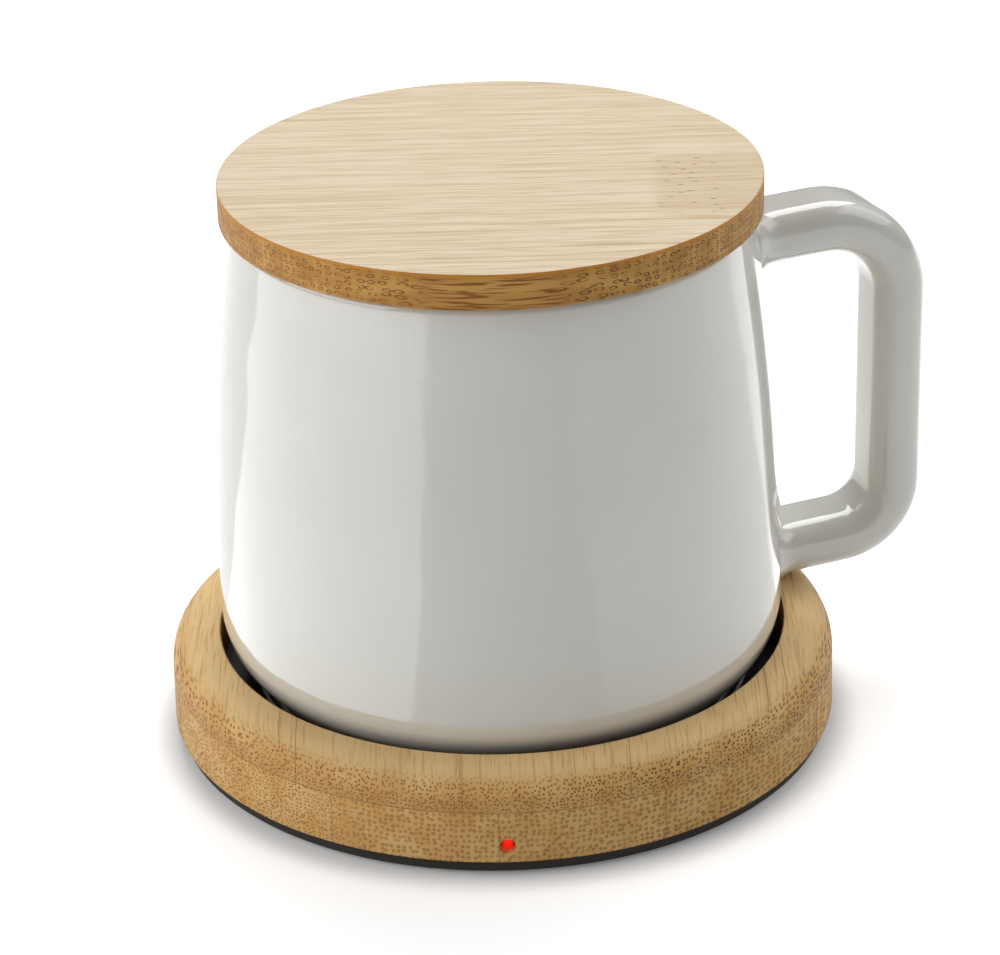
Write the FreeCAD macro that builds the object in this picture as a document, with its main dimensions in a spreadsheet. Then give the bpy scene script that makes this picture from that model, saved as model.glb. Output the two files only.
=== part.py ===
import FreeCAD
import Part
import Sketcher
import math
import os
import re

from FreeCAD import Placement, Rotation, Vector

# Electric mug warmer: a turned bamboo base with a sinking heating plate, and its lidded mug.
# Millimetres, +Z up, origin on the turning axis at the surface the feet stand on.
# The indicator lamp faces -Y, and the mains lead enters at +Y.

SIZES = {
    # feet and bottom cover
    "foot_proud": 0.6,
    "foot_radius": 5.0,
    "foot_recess": 0.8,
    "foot_inset": 8.1,
    "foot_edge": 0.3,
    "cover_inset": 0.8,
    "cover_band": 2.4,
    "cover_floor": 2.0,
    "cover_edge": 0.5,
    "collar_wall": 1.2,
    "collar_rise": 1.6,
    "vent_length": 9.0,
    "vent_width": 1.8,
    "vent_ring": 17.0,
    "vent_count": 12,
    # turned bamboo base
    "base_radius": 60.0,
    "base_wall": 6.4,
    "base_draft": 0.15,
    "base_rise": 16.1,
    "base_round": 5.4,
    "ledge_width": 2.5,
    "recess_lip": 0.5,
    "recess_depth": 8.7,
    "lamp_hole": 1.4,
    "lamp_rise": 3.1,
    "notch_radius": 2.9,
    "gland_rise": 2.7,
    "entry_width": 8.7,
    "entry_depth": 4.8,
    # moulded frame of the heating plate
    "frame_flange": 2.0,
    "frame_lip": 0.3,
    "frame_lip_wall": 1.2,
    "frame_rim": 6.1,
    "seat_wall": 1.8,
    "seat_drop": 1.4,
    "ear_width": 9.0,
    "ear_thick": 1.2,
    "ear_root": 0.2,
    "leg_inset": 5.4,
    "leg_turn": 45.0,
    "leg_radius": 2.9,
    # heating plate and what hangs under it
    "plate_gap": 1.4,
    "plate_thick": 2.0,
    "plate_edge": 0.6,
    "plate_groove": 0.3,
    "groove_inset": 5.0,
    "plate_travel": 1.0,
    "post_inset": 5.6,
    "post_radius": 2.4,
    "guide_head": 3.6,
    "guide_head_thick": 1.0,
    "guide_shank": 1.2,
    "guide_grip": 3.4,
    "seal_wall": 0.9,
    "seal_rise": 1.6,
    "heater_inset": 18.6,
    "heater_bore": 4.0,
    "heater_thick": 1.2,
    "pad_margin": 1.0,
    "pad_thick": 0.8,
    "bar_width": 10.0,
    "bar_thick": 0.8,
    "bar_margin": 5.0,
    "bar_turn": 30.0,
    "bar_boss": 2.7,
    "thermostat_radius": 4.5,
    "thermostat_thick": 2.3,
    "thermostat_gap": 1.5,
    "tab_offset": 1.0,
    "tab_length": 4.5,
    "tab_width": 1.6,
    "fuse_radius": 1.3,
    "fuse_length": 9.0,
    "fuse_span": 18.0,
    "fuse_gap": 5.2,
    "fuse_turn": 150.0,
    "lead_radius": 0.55,
    "lead_offset": 1.65,
    "lead_bend": 1.2,
    # return springs
    "spring_inset": 6.6,
    "spring_turn": 60.0,
    "spring_radius": 2.9,
    "spring_wire": 0.35,
    "spring_turns": 3.0,
    "peg_radius": 2.0,
    "peg_rise": 1.4,
    # circuit board and its components
    "board_gap": 2.6,
    "board_depth": 27.0,
    "board_thick": 1.2,
    "standoff_rise": 1.0,
    "standoff_radius": 2.4,
    "outer_standoff_x": 20.1,
    "outer_standoff_inset": 8.0,
    "inner_standoff_x": 9.5,
    "inner_standoff_inset": 3.0,
    "switch_size": 6.0,
    "switch_rise": 2.6,
    "switch_inset": 16.0,
    "plunger_radius": 1.5,
    "plunger_grip": 1.8,
    "plunger_edge": 0.3,
    "relay_turn": 60.0,
    "relay_side": 7.6,
    "relay_inset": 4.909,
    "relay_length": 6.6,
    "relay_width": 5.0,
    "relay_rise": 3.2,
    "chip_x": 8.2,
    "chip_inset": 6.8,
    "chip_length": 5.0,
    "chip_width": 4.0,
    "chip_rise": 1.2,
    "capacitor_x": 9.4,
    "capacitor_inset": 12.0,
    "capacitor_radius": 1.6,
    "capacitor_length": 8.0,
    "resistor_inset": 3.948,
    "resistor_turn": 46.136,
    "resistor_radius": 0.9,
    "resistor_length": 4.6,
    "resistor_pitch": 2.6,
    "terminal_side": 4.4,
    "terminal_inset": 2.3,
    "terminal_length": 3.4,
    "terminal_width": 4.2,
    "terminal_rise": 3.3,
    "port_depth": 1.1,
    "supply_radius": 0.65,
    "supply_inset": 10.7,
    "supply_bend": 3.0,
    "supply_entry": 4.0,
    "supply_straight": 1.0,
    "supply_first": 78.0,
    "supply_last": -24.0,
    "supply_step": 14.0,
    "supply_pitch": 1.6,
    # lamp
    "lamp_radius": 1.3,
    "lamp_sunk": 1.4,
    "lamp_flange": 1.7,
    "lamp_flange_thick": 1.0,
    "lamp_lead": 0.25,
    "lamp_lead_half": 0.65,
    "lamp_lead_run": 2.0,
    "lamp_lead_bend": 0.5,
    # lead entry
    "gland_bore": 1.9,
    "gland_flange": 0.9,
    "gland_flange_thick": 1.2,
    "gland_lip": 0.4,
    "clamp_inset": 5.0,
    "clamp_width": 4.4,
    "clamp_half": 6.6,
    "clamp_thick": 0.8,
    "clamp_boss_rise": 1.2,
    # screws
    "screw_shank": 1.0,
    "screw_head": 2.7,
    "screw_head_thick": 1.0,
    "screw_length": 6.4,
    "small_shank": 0.8,
    "small_head": 1.9,
    "small_head_thick": 1.1,
    "small_grip": 2.2,
    "head_edge": 0.2,
    "head_dome": 0.3,
    # mug
    "mug_rise": 87.2,
    "mug_gap": 0.5,
    "mug_taper": 5.3,
    "mug_side_round": 455.0,
    "mug_corner": 12.6,
    "mug_foot_rise": 1.0,
    "mug_foot_wall": 3.0,
    "mug_foot_round": 0.8,
    "mug_wall": 3.6,
    "mug_floor": 5.0,
    "mug_inner_corner": 10.0,
    "handle_gap": 24.2,
    "handle_top": 77.5,
    "handle_low": 15.3,
    "handle_slope": 0.065,
    "handle_width": 14.5,
    "handle_thick": 9.6,
    "handle_edge": 4.2,
    "handle_bend_top": 14.0,
    "handle_bend_low": 10.5,
    "handle_turn": 16.0,
    # lid
    "lid_overhang": 1.7,
    "lid_thick": 6.2,
    "lid_edge": 0.25,
    "plug_gap": 1.5,
    "plug_rise": 6.0,
    "plug_groove": 1.2,
    "plug_groove_rise": 2.0,
    "lid_seal_gap": 0.35,
    # clearances and small edges
    "part_edge": 0.25,
    "fit_gap": 0.3,
    "running_gap": 0.2,
    "screw_gap": 0.1,
    "pilot_gap": 0.05,
    "touch_gap": 0.05,
    "lid_gap": 0.2,
    "cut_past": 6.0,
}

# Levels and places that follow from the driving sizes.
DERIVED = {
    "cavity_radius": "base_radius - base_wall",
    "recess_radius": "cavity_radius - ledge_width",
    "cover_radius": "base_radius - cover_inset",
    "foot_ring": "cavity_radius - foot_inset",
    "leg_ring": "cavity_radius - leg_inset",
    "seat_out": "recess_radius - frame_rim",
    "seat_in": "seat_out - seat_wall",
    "plate_radius": "seat_out - plate_gap",
    "post_ring": "plate_radius - post_inset",
    "spring_ring": "plate_radius - spring_inset",
    "heater_radius": "plate_radius - heater_inset",
    "pad_radius": "heater_radius + pad_margin",
    "bar_ring": "pad_radius + bar_margin",
    "thermostat_ring": "pad_radius + thermostat_radius + thermostat_gap",
    "fuse_ring": "pad_radius + fuse_radius + fuse_gap",
    "board_radius": "cavity_radius - board_gap",
    "board_chord": "board_radius - board_depth",
    "board_half": "sqrt(board_radius ^ 2 - board_chord ^ 2)",
    "outer_standoff_y": "board_radius - outer_standoff_inset",
    "inner_standoff_y": "board_chord + inner_standoff_inset",
    "switch_place": "board_radius - switch_inset",
    "relay_x": "post_ring * cos(relay_turn) + relay_side",
    "relay_y": "post_ring * sin(relay_turn) - relay_inset",
    "chip_y": "board_radius - chip_inset",
    "capacitor_y": "board_radius - capacitor_inset",
    "resistor_x": "(seat_in - resistor_inset) * cos(resistor_turn)",
    "resistor_y": "(seat_in - resistor_inset) * sin(resistor_turn)",
    "terminal_x": "board_half - terminal_side",
    "terminal_y": "board_chord + terminal_inset",
    "supply_ring": "cavity_radius - supply_inset",
    "lamp_back": "collar_in - lamp_flange_thick - touch_gap * 2",
    "clamp_place": "cavity_radius - clamp_inset",
    "mug_radius": "recess_radius - mug_gap",
    "mug_mouth": "mug_radius - mug_taper",
    "handle_reach": "mug_radius + handle_gap",
    "lid_radius": "mug_mouth + lid_overhang",
    "plug_radius": "mug_mouth - mug_wall - plug_gap",
    "cover_top": "foot_proud + cover_band",
    "floor_top": "foot_proud + cover_floor",
    "collar_out": "cavity_radius - fit_gap",
    "collar_in": "collar_out - collar_wall",
    "collar_top": "cover_top + collar_rise",
    "base_top": "cover_top + base_rise",
    "ledge": "base_top - recess_depth",
    "lamp_level": "cover_top + lamp_rise",
    "gland_level": "cover_top + gland_rise",
    "flange_bottom": "ledge - frame_flange",
    "seat": "ledge - seat_drop",
    "plate_top": "seat + plate_thick",
    "guide_level": "ear_bottom - plate_travel - touch_gap",
    "ear_bottom": "seat - ear_thick - bar_drop",
    "bar_drop": "pad_thick + bar_thick",
    "heater_bottom": "seat - heater_thick",
    "pad_bottom": "heater_bottom - pad_thick",
    "bar_bottom": "pad_bottom - bar_thick",
    "board_bottom": "floor_top + standoff_rise",
    "board_top": "board_bottom + board_thick",
    "mug_bottom": "plate_top + touch_gap",
    "mug_rim": "mug_bottom + mug_rise",
    "lid_bottom": "mug_rim + lid_gap",
}

FULL_TURN = int(math.degrees(2 * math.pi))
START, END, CENTRE = range(1, 4)
ORIGIN = -START


def expand(text):
    """Write derived levels out as the sheet's own cells."""
    def swap(match):
        word = match.group(0)
        if word in DERIVED:
            return "(" + expand(DERIVED[word]) + ")"
        if word in SIZES:
            return "Sizes." + word
        return word
    return re.sub(r"[A-Za-z_]+", swap, text)


def value(text):
    """The number that a formula has now."""
    return float(sheet.evalExpression(expand(text)))


def bind(thing, prop, text):
    thing.setExpression(prop, expand(text))


doc = FreeCAD.newDocument("mug_warmer")
sheet = doc.addObject("Spreadsheet::Sheet", "Sizes")
for row, (alias, size) in enumerate(SIZES.items(), start=1):
    sheet.set("A%d" % row, alias)
    sheet.set("B%d" % row, str(size))
    sheet.setAlias("B%d" % row, alias)
doc.recompute()
pieces = []


def new_body(label, turn=None):
    """An empty body for one named sub-part, turned about the Z axis if asked."""
    body = doc.addObject("PartDesign::Body", label)
    body.Label = label
    body.AllowCompound = True
    body.Placement = Placement(Vector(), Rotation(Vector(0, 0, 1), 0))
    if turn is not None:
        bind(body, "Placement.Rotation.Angle", turn)
    pieces.append(body)
    return body


def origin_feature(body, role):
    return [item for item in body.Origin.OriginFeatures if item.Role == role][0]


def sketch_on(body, role, shift=("0", "0", "0")):
    """A sketch on one of the body's origin planes, moved within that plane and along its normal."""
    sketch = body.newObject("Sketcher::SketchObject", body.Label + "_sketch")
    sketch.AttachmentSupport = [(origin_feature(body, role), "")]
    sketch.MapMode = "FlatFace"
    for axis, text in zip("xyz", shift):
        if text != "0":
            bind(sketch, "AttachmentOffset.Base." + axis, text)
    return sketch


def at_level(body, level):
    """A sketch parallel to the ground at a given height."""
    return sketch_on(body, "XY_Plane", ("0", "0", level))


def constrain(sketch, kind, *terms):
    """Add a driven dimension; the last term is its formula."""
    index = sketch.addConstraint(Sketcher.Constraint(kind, *terms[:-1], value(terms[-1])))
    bind(sketch, "Constraints[%d]" % index, terms[-1])


def pin_point(sketch, geometry, place, point):
    constrain(sketch, "DistanceX", ORIGIN, START, geometry, place, point[0])
    constrain(sketch, "DistanceY", ORIGIN, START, geometry, place, point[1])


def arc_middle(first, last, radius, side):
    """The middle of an arc that bulges to the left (+1) or right (-1) of its chord."""
    chord = last - first
    half = chord.Length / 2
    rise = radius - math.sqrt(max(radius ** 2 - half ** 2, 0))
    left = Vector(-chord.y, chord.x, 0).normalize()
    return (first + last) * 0.5 + left * (rise * side)


def outline(sketch, points, arcs=None, closed=True):
    """Lines, and arcs of a given radius, through points whose coordinates are formulas."""
    arcs = arcs or {}
    ends = []
    places = [Vector(value(x), value(y), 0) for x, y in points]
    count = len(points) if closed else len(points) - 1
    for index in range(count):
        first = places[index]
        last = places[(index + 1) % len(points)]
        if index in arcs:
            radius, side = arcs[index]
            middle = arc_middle(first, last, value(radius), side)
            sketch.addGeometry(Part.Arc(first, middle, last), False)
            # a clockwise arc is kept as the same arc run the other way
            ends.append((END, START) if side > 0 else (START, END))
        else:
            sketch.addGeometry(Part.LineSegment(first, last), False)
            ends.append((START, END))
    for index in range(count if closed else count - 1):
        after = (index + 1) % count
        sketch.addConstraint(Sketcher.Constraint("Coincident", index, ends[index][1], after, ends[after][0]))
    for index in range(count):
        pin_point(sketch, index, ends[index][0], points[index])
    if not closed:
        pin_point(sketch, count - 1, ends[-1][1], points[-1])
    for index, (radius, side) in arcs.items():
        constrain(sketch, "Radius", index, radius)
    return sketch


def rings(sketch, circles):
    """Circles given as formulas for x, y and radius."""
    for x, y, radius in circles:
        circle = Part.Circle(Vector(value(x), value(y), 0), Vector(0, 0, 1), value(radius))
        index = sketch.addGeometry(circle, False)
        pin_point(sketch, index, CENTRE, (x, y))
        constrain(sketch, "Radius", index, radius)
    return sketch


def box_points(x, y, length, width):
    """Corners of a rectangle round its centre."""
    corners = ((-1, -1), (1, -1), (1, 1), (-1, 1))
    return [("%s + %d * (%s) / 2" % (x, i, length), "%s + %d * (%s) / 2" % (y, j, width)) for i, j in corners]


def feature(body, kind, sketch, **settings):
    item = body.newObject("PartDesign::" + kind, body.Label + "_" + kind.lower())
    item.Profile = sketch
    for name, setting in settings.items():
        setattr(item, name, setting)
    return item


def turned(body, sketch, cut=False):
    """Turn an outline about its sketch's vertical axis, to add or to cut."""
    before = body_volume(body)
    item = feature(body, "Groove" if cut else "Revolution", sketch, ReferenceAxis=(sketch, ["V_Axis"]))
    item.Angle = FULL_TURN
    doc.recompute()
    check_change(body, before, cut)
    return item


def raised(body, sketch, length, reverse=False):
    before = body_volume(body)
    item = feature(body, "Pad", sketch, Reversed=reverse)
    bind(item, "Length", length)
    doc.recompute()
    check_change(body, before, False)
    return item


def sunk(body, sketch, length, reverse=False):
    before = body_volume(body)
    item = feature(body, "Pocket", sketch, Reversed=reverse)
    bind(item, "Length", length)
    doc.recompute()
    check_change(body, before, True)
    return item


def body_volume(body):
    return 0.0 if body.Tip is None or body.Shape.isNull() else body.Shape.Volume


def check_change(body, before, cut):
    """A cut has to take material away, and any other feature has to add it."""
    change = body.Shape.Volume - before
    if (change >= 0) == cut:
        raise RuntimeError(body.Label + ": a feature changed nothing")


def around(body, features, count):
    """Repeat features evenly about the body's Z axis."""
    pattern = body.newObject("PartDesign::PolarPattern", body.Label + "_pattern")
    pattern.Originals = features
    pattern.Axis = (origin_feature(body, "Z_Axis"), [""])
    pattern.Angle = FULL_TURN
    if isinstance(count, str):
        bind(pattern, "Occurrences", count)
    else:
        pattern.Occurrences = count
    body.Tip = pattern
    doc.recompute()


def turned_set(label, points, arcs, places, turn=None):
    """Equal turned pieces standing at several places of one sub-part."""
    body = new_body(label, turn)
    for x, y in places:
        sketch = outline(sketch_on(body, "XZ_Plane", (x, "0", "-(%s)" % y)), points, arcs)
        turned(body, sketch)
    return body


def spread(count, first="0"):
    """Angles set evenly about the axis, from a first one."""
    return ["%s + %d" % (first, index * FULL_TURN // count) for index in range(count)]


def polar(ring, degrees):
    return ("%s * cos(%s)" % (ring, degrees), "%s * sin(%s)" % (ring, degrees))


def screw_points(head, head_thick, shank, tip, seat, up=1):
    """Half section of a screw whose head rests against the level seat, with its shank going up or down."""
    return [
        ("0", "%s - %d * (%s)" % (seat, up, head_thick)),
        ("%s - head_edge" % head, "%s - %d * (%s)" % (seat, up, head_thick)),
        (head, "%s - %d * (%s - head_dome)" % (seat, up, head_thick)),
        (head, seat),
        (shank, seat),
        (shank, "%s + %d * (%s - %s)" % (seat, up, tip, shank)),
        ("0", "%s + %d * (%s)" % (seat, up, tip)),
    ]


def block(label, x, y, bottom, length, width, rise, edge=None):
    """A small box-shaped component with its upper edges broken."""
    body = new_body(label)
    sketch = outline(at_level(body, bottom), box_points(x, y, length, width))
    raised(body, sketch, rise)
    if edge is not None:
        top = value(bottom) + value(rise)
        names = ["Edge%d" % (k + 1) for k, item in enumerate(body.Shape.Edges)
                 if all(abs(v.Z - top) < value("touch_gap") for v in item.Vertexes)]
        base = body.Tip
        chamfer = body.newObject("PartDesign::Chamfer", label + "_chamfer")
        chamfer.Base = (base, names)
        bind(chamfer, "Size", edge)
        body.Tip = chamfer
        doc.recompute()
    return body


# Bamboo base
def bamboo_base():
    body = new_body("bamboo_base")
    points = [
        ("base_radius + base_draft", "cover_top"),
        ("base_radius", "base_top - base_round"),
        ("base_radius - base_round", "base_top"),
        ("recess_radius + recess_lip", "base_top"),
        ("recess_radius", "base_top - recess_lip"),
        ("recess_radius", "ledge"),
        ("cavity_radius", "ledge"),
        ("cavity_radius", "cover_top"),
    ]
    arcs = {1: ("base_round", -1), 3: ("recess_lip", -1)}
    turned(body, outline(sketch_on(body, "XZ_Plane"), points, arcs))
    lamp = rings(sketch_on(body, "XZ_Plane"), [("0", "lamp_level", "lamp_hole")])
    sunk(body, lamp, "base_radius + cut_past", reverse=True)
    notch = gland_outline(sketch_on(body, "XZ_Plane"), "notch_radius", "cover_top - fit_gap")
    sunk(body, notch, "base_radius + cut_past")


def gland_outline(sketch, radius, bottom):
    """A round-topped, straight-sided outline that stands on the level bottom."""
    points = [
        ("-(%s)" % radius, bottom),
        (radius, bottom),
        (radius, "gland_level"),
        ("0", "gland_level + %s" % radius),
        ("-(%s)" % radius, "gland_level"),
    ]
    return outline(sketch, points, {2: (radius, -1), 3: (radius, -1)})


# Bottom cover
def bottom_cover():
    body = new_body("bottom_cover")
    points = [
        ("0", "foot_proud"),
        ("cover_radius - cover_edge", "foot_proud"),
        ("cover_radius", "foot_proud + cover_edge"),
        ("cover_radius", "cover_top"),
        ("collar_out", "cover_top"),
        ("collar_out", "collar_top"),
        ("collar_in", "collar_top"),
        ("collar_in", "floor_top"),
        ("0", "floor_top"),
    ]
    turned(body, outline(sketch_on(body, "XZ_Plane"), points))
    board_posts = [(x, y, "standoff_radius") for x, y in board_places()]
    raised(body, rings(at_level(body, "floor_top"), board_posts), "standoff_rise")
    clamp_posts = [(x, y, "standoff_radius") for x, y in clamp_places()]
    raised(body, rings(at_level(body, "floor_top"), clamp_posts), "clamp_boss_rise")
    pegs = [polar("spring_ring", degrees) + ("peg_radius",) for degrees in spread(3, "spring_turn")]
    raised(body, rings(at_level(body, "floor_top"), pegs), "peg_rise")
    pilots = [(x, y, "small_shank + pilot_gap") for x, y in board_places()]
    sunk(body, rings(at_level(body, "board_bottom"), pilots), "small_grip")
    pilots = [(x, y, "small_shank + pilot_gap") for x, y in clamp_places()]
    level = "floor_top + clamp_boss_rise"
    sunk(body, rings(at_level(body, level), pilots), "small_grip + fit_gap")
    holes = [polar("leg_ring", degrees) + ("screw_shank + screw_gap",) for degrees in spread(4, "leg_turn")]
    sunk(body, rings(at_level(body, "floor_top"), holes), "cover_floor + cut_past")
    heads = [polar("leg_ring", degrees) + ("screw_head + screw_gap",) for degrees in spread(4, "leg_turn")]
    sunk(body, rings(at_level(body, "foot_proud"), heads), "screw_head_thick", reverse=True)
    feet = [(x, y, "foot_radius + screw_gap") for x, y in foot_places()]
    sunk(body, rings(at_level(body, "foot_proud"), feet), "foot_recess", reverse=True)
    slot = outline(at_level(body, "floor_top"),
                   box_points("vent_ring", "0", "vent_length", "vent_width"))
    cut = sunk(body, slot, "cover_floor + cut_past")
    around(body, [cut], "vent_count")
    gap = outline(at_level(body, "collar_top"),
                  box_points("0", "cavity_radius", "entry_width", "entry_depth"))
    sunk(body, gap, "collar_rise")


def board_places():
    places = []
    for side in ("-", ""):
        places.append((side + "outer_standoff_x", "-outer_standoff_y"))
        places.append((side + "inner_standoff_x", "-inner_standoff_y"))
    return places


def clamp_places():
    return [("-clamp_half", "clamp_place"), ("clamp_half", "clamp_place")]


def foot_places():
    """Four feet near the edge and one in the middle."""
    return [("0", "0")] + [polar("foot_ring", degrees) for degrees in spread(4)]


def rubber_feet():
    points = [
        ("0", "0"),
        ("foot_radius - foot_edge", "0"),
        ("foot_radius", "foot_edge"),
        ("foot_radius", "foot_proud + foot_recess"),
        ("0", "foot_proud + foot_recess"),
    ]
    turned_set("rubber_feet", points, {}, foot_places())


def cover_screws():
    points = screw_points("screw_head", "screw_head_thick", "screw_shank", "screw_length",
                          "foot_proud + screw_head_thick")
    places = [polar("leg_ring", degrees) for degrees in spread(4, "leg_turn")]
    turned_set("cover_screws", points, {}, places)


# Frame that guides the plate
def plate_frame():
    body = new_body("plate_frame")
    points = [
        ("seat_in", "ear_bottom"),
        ("seat_out", "ear_bottom"),
        ("seat_out", "flange_bottom"),
        ("cavity_radius - fit_gap", "flange_bottom"),
        ("cavity_radius - fit_gap", "ledge"),
        ("seat_out + frame_lip_wall", "ledge"),
        ("seat_out + frame_lip_wall", "ledge + frame_lip"),
        ("seat_out", "ledge + frame_lip"),
        ("seat_out", "seat"),
        ("seat_in", "seat"),
    ]
    turned(body, outline(sketch_on(body, "XZ_Plane"), points))
    ear = [
        ("post_ring", "-ear_width / 2"),
        ("seat_in + ear_root", "-ear_width / 2"),
        ("seat_in + ear_root", "ear_width / 2"),
        ("post_ring", "ear_width / 2"),
        ("post_ring - ear_width / 2", "0"),
    ]
    arcs = {3: ("ear_width / 2", -1), 4: ("ear_width / 2", -1)}
    lug = raised(body, outline(at_level(body, "ear_bottom"), ear, arcs), "ear_thick")
    eye = rings(at_level(body, "ear_bottom"),
                [("post_ring", "0", "post_radius + running_gap")])
    hole = sunk(body, eye, "ear_thick", reverse=True)
    around(body, [lug, hole], 3)
    legs = [polar("leg_ring", degrees) + ("leg_radius",) for degrees in spread(4, "leg_turn")]
    raised(body, rings(at_level(body, "floor_top"), legs), "flange_bottom - floor_top")
    pilots = [polar("leg_ring", degrees) + ("screw_shank + pilot_gap",) for degrees in spread(4, "leg_turn")]
    sunk(body, rings(at_level(body, "floor_top"), pilots), "screw_length", reverse=True)
    relief = outline(at_level(body, "flange_bottom"),
                     box_points("0", "cavity_radius", "entry_width", "entry_depth"))
    sunk(body, relief, "gland_level + notch_radius + gland_lip + fit_gap - flange_bottom", reverse=True)


def plate_seal():
    body = new_body("plate_seal")
    points = [
        ("seat_out - touch_gap - seal_wall", "seat"),
        ("seat_out - touch_gap", "seat"),
        ("seat_out - touch_gap", "seat + seal_rise - seal_wall / 2"),
        ("seat_out - touch_gap - seal_wall / 2", "seat + seal_rise"),
        ("seat_out - touch_gap - seal_wall", "seat + seal_rise - seal_wall / 2"),
    ]
    arcs = {2: ("seal_wall / 2", -1), 3: ("seal_wall / 2", -1)}
    turned(body, outline(sketch_on(body, "XZ_Plane"), points, arcs))


# Heating plate and what it carries
def heating_plate():
    body = new_body("heating_plate")
    points = [
        ("0", "seat"),
        ("plate_radius", "seat"),
        ("plate_radius", "plate_top - plate_edge"),
        ("plate_radius - plate_edge", "plate_top"),
        ("0", "plate_top"),
    ]
    turned(body, outline(sketch_on(body, "XZ_Plane"), points, {2: ("plate_edge", -1)}))
    groove_radius = "heater_radius - groove_inset"
    circles = [("0", "0", groove_radius), ("0", "0", groove_radius + " - plate_edge")]
    groove = rings(at_level(body, "plate_top"), circles)
    sunk(body, groove, "plate_groove")
    posts = [polar("post_ring", degrees) + ("post_radius",) for degrees in spread(3)]
    raised(body, rings(at_level(body, "guide_level"), posts), "seat - guide_level")
    bosses = [polar("bar_ring", degrees) + ("bar_boss",) for degrees in spread(2, "bar_turn")]
    raised(body, rings(at_level(body, "pad_bottom"), bosses), "seat - pad_bottom")
    holes = [polar("post_ring", degrees) + ("guide_shank + pilot_gap",) for degrees in spread(3)]
    sunk(body, rings(at_level(body, "guide_level"), holes), "guide_grip + fit_gap",
         reverse=True)
    holes = [polar("bar_ring", degrees) + ("small_shank + pilot_gap",) for degrees in spread(2, "bar_turn")]
    sunk(body, rings(at_level(body, "pad_bottom"), holes), "small_grip + fit_gap",
         reverse=True)


def guide_screws():
    points = screw_points("guide_head", "guide_head_thick", "guide_shank", "guide_grip", "guide_level")
    places = [polar("post_ring", degrees) for degrees in spread(3)]
    turned_set("guide_screws", points, {}, places)


def flat_ring(label, outer, inner, bottom, thick):
    body = new_body(label)
    circles = [("0", "0", outer), ("0", "0", inner)]
    raised(body, rings(at_level(body, bottom), circles), thick)


def heater_clamp():
    body = new_body("heater_clamp", turn="bar_turn")
    points = [
        ("-bar_ring", "-bar_width / 2"),
        ("bar_ring", "-bar_width / 2"),
        ("bar_ring + bar_width / 2", "0"),
        ("bar_ring", "bar_width / 2"),
        ("-bar_ring", "bar_width / 2"),
        ("-bar_ring - bar_width / 2", "0"),
    ]
    arcs = {index: ("bar_width / 2", -1) for index in (1, 2, 4, 5)}
    raised(body, outline(at_level(body, "bar_bottom"), points, arcs), "bar_thick")
    holes = [("bar_ring", "0", "small_shank + screw_gap"), ("-bar_ring", "0", "small_shank + screw_gap"),
             ("0", "0", "heater_bore")]
    sunk(body, rings(at_level(body, "bar_bottom"), holes), "bar_thick", reverse=True)


def clamp_screws():
    points = screw_points("small_head", "small_head_thick", "small_shank", "bar_thick + small_grip",
                          "bar_bottom")
    places = [polar("bar_ring", degrees) for degrees in spread(2, "bar_turn")]
    turned_set("clamp_screws", points, {}, places)


def thermostat():
    body = new_body("thermostat")
    bottom = "seat - thermostat_thick"
    can = rings(at_level(body, bottom), [("0", "thermostat_ring", "thermostat_radius")])
    raised(body, can, "thermostat_thick")
    for side in (-1, 1):
        x = "%d * (thermostat_radius + tab_offset)" % side
        tab = box_points(x, "thermostat_ring", "tab_length", "tab_width")
        raised(body, outline(at_level(body, bottom), tab), "bar_thick")


def thermal_fuse():
    body = new_body("thermal_fuse", turn="fuse_turn")
    level = "seat - fuse_radius"
    start = sketch_on(body, "XZ_Plane", ("0", "0", "-fuse_length / 2"))
    can = rings(start, [("fuse_ring", level, "fuse_radius")])
    raised(body, can, "fuse_length")
    start = sketch_on(body, "XZ_Plane", ("0", "0", "-fuse_span / 2"))
    lead = rings(start, [("fuse_ring", level, "lead_radius")])
    raised(body, lead, "fuse_span")


def rounded_path(points, bend):
    """Straight runs joined by tangent arcs through points, as one wire."""
    edges = []
    start = points[0]
    for before, corner, after in zip(points, points[1:], points[2:]):
        back = (before - corner).normalize()
        ahead = (after - corner).normalize()
        half = back.getAngle(ahead) / 2
        reach = bend / math.tan(half)
        first = corner + back * reach
        last = corner + ahead * reach
        centre_way = (back + ahead).normalize()
        middle = corner + centre_way * (bend / math.sin(half) - bend)
        edges.append(Part.LineSegment(start, first).toShape())
        edges.append(Part.Arc(first, middle, last).toShape())
        start = last
    edges.append(Part.LineSegment(start, points[-1]).toShape())
    return Part.Wire(edges)


def tube_along(points, radius, bend):
    path = rounded_path(points, bend)
    ahead = points[1] - points[0]
    section = Part.Wire([Part.Circle(points[0], ahead, radius).toShape()])
    return path.makePipeShell([section], True, False)


def shaped(label, solids):
    """A sub-part whose solids are made directly."""
    item = doc.addObject("Part::Feature", label)
    item.Label = label
    item.Shape = Part.makeCompound(solids) if len(solids) > 1 else solids[0]
    item.Placement = Placement()
    pieces.append(item)


def spot(*texts):
    return Vector(*[value(text) for text in texts])


def heater_leads():
    tubes = []
    for side in (-1, 1):
        x = "%d * lead_offset" % side
        level = "heater_bottom + heater_thick / 2"
        points = [
            spot(x, "-heater_radius - touch_gap", level),
            spot(x, "-inner_standoff_y - lead_offset", level),
            spot(x, "-inner_standoff_y - lead_offset", "board_top + touch_gap"),
        ]
        tubes.append(tube_along(points, value("lead_radius"), value("lead_bend")))
    shaped("heater_leads", tubes)


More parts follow.
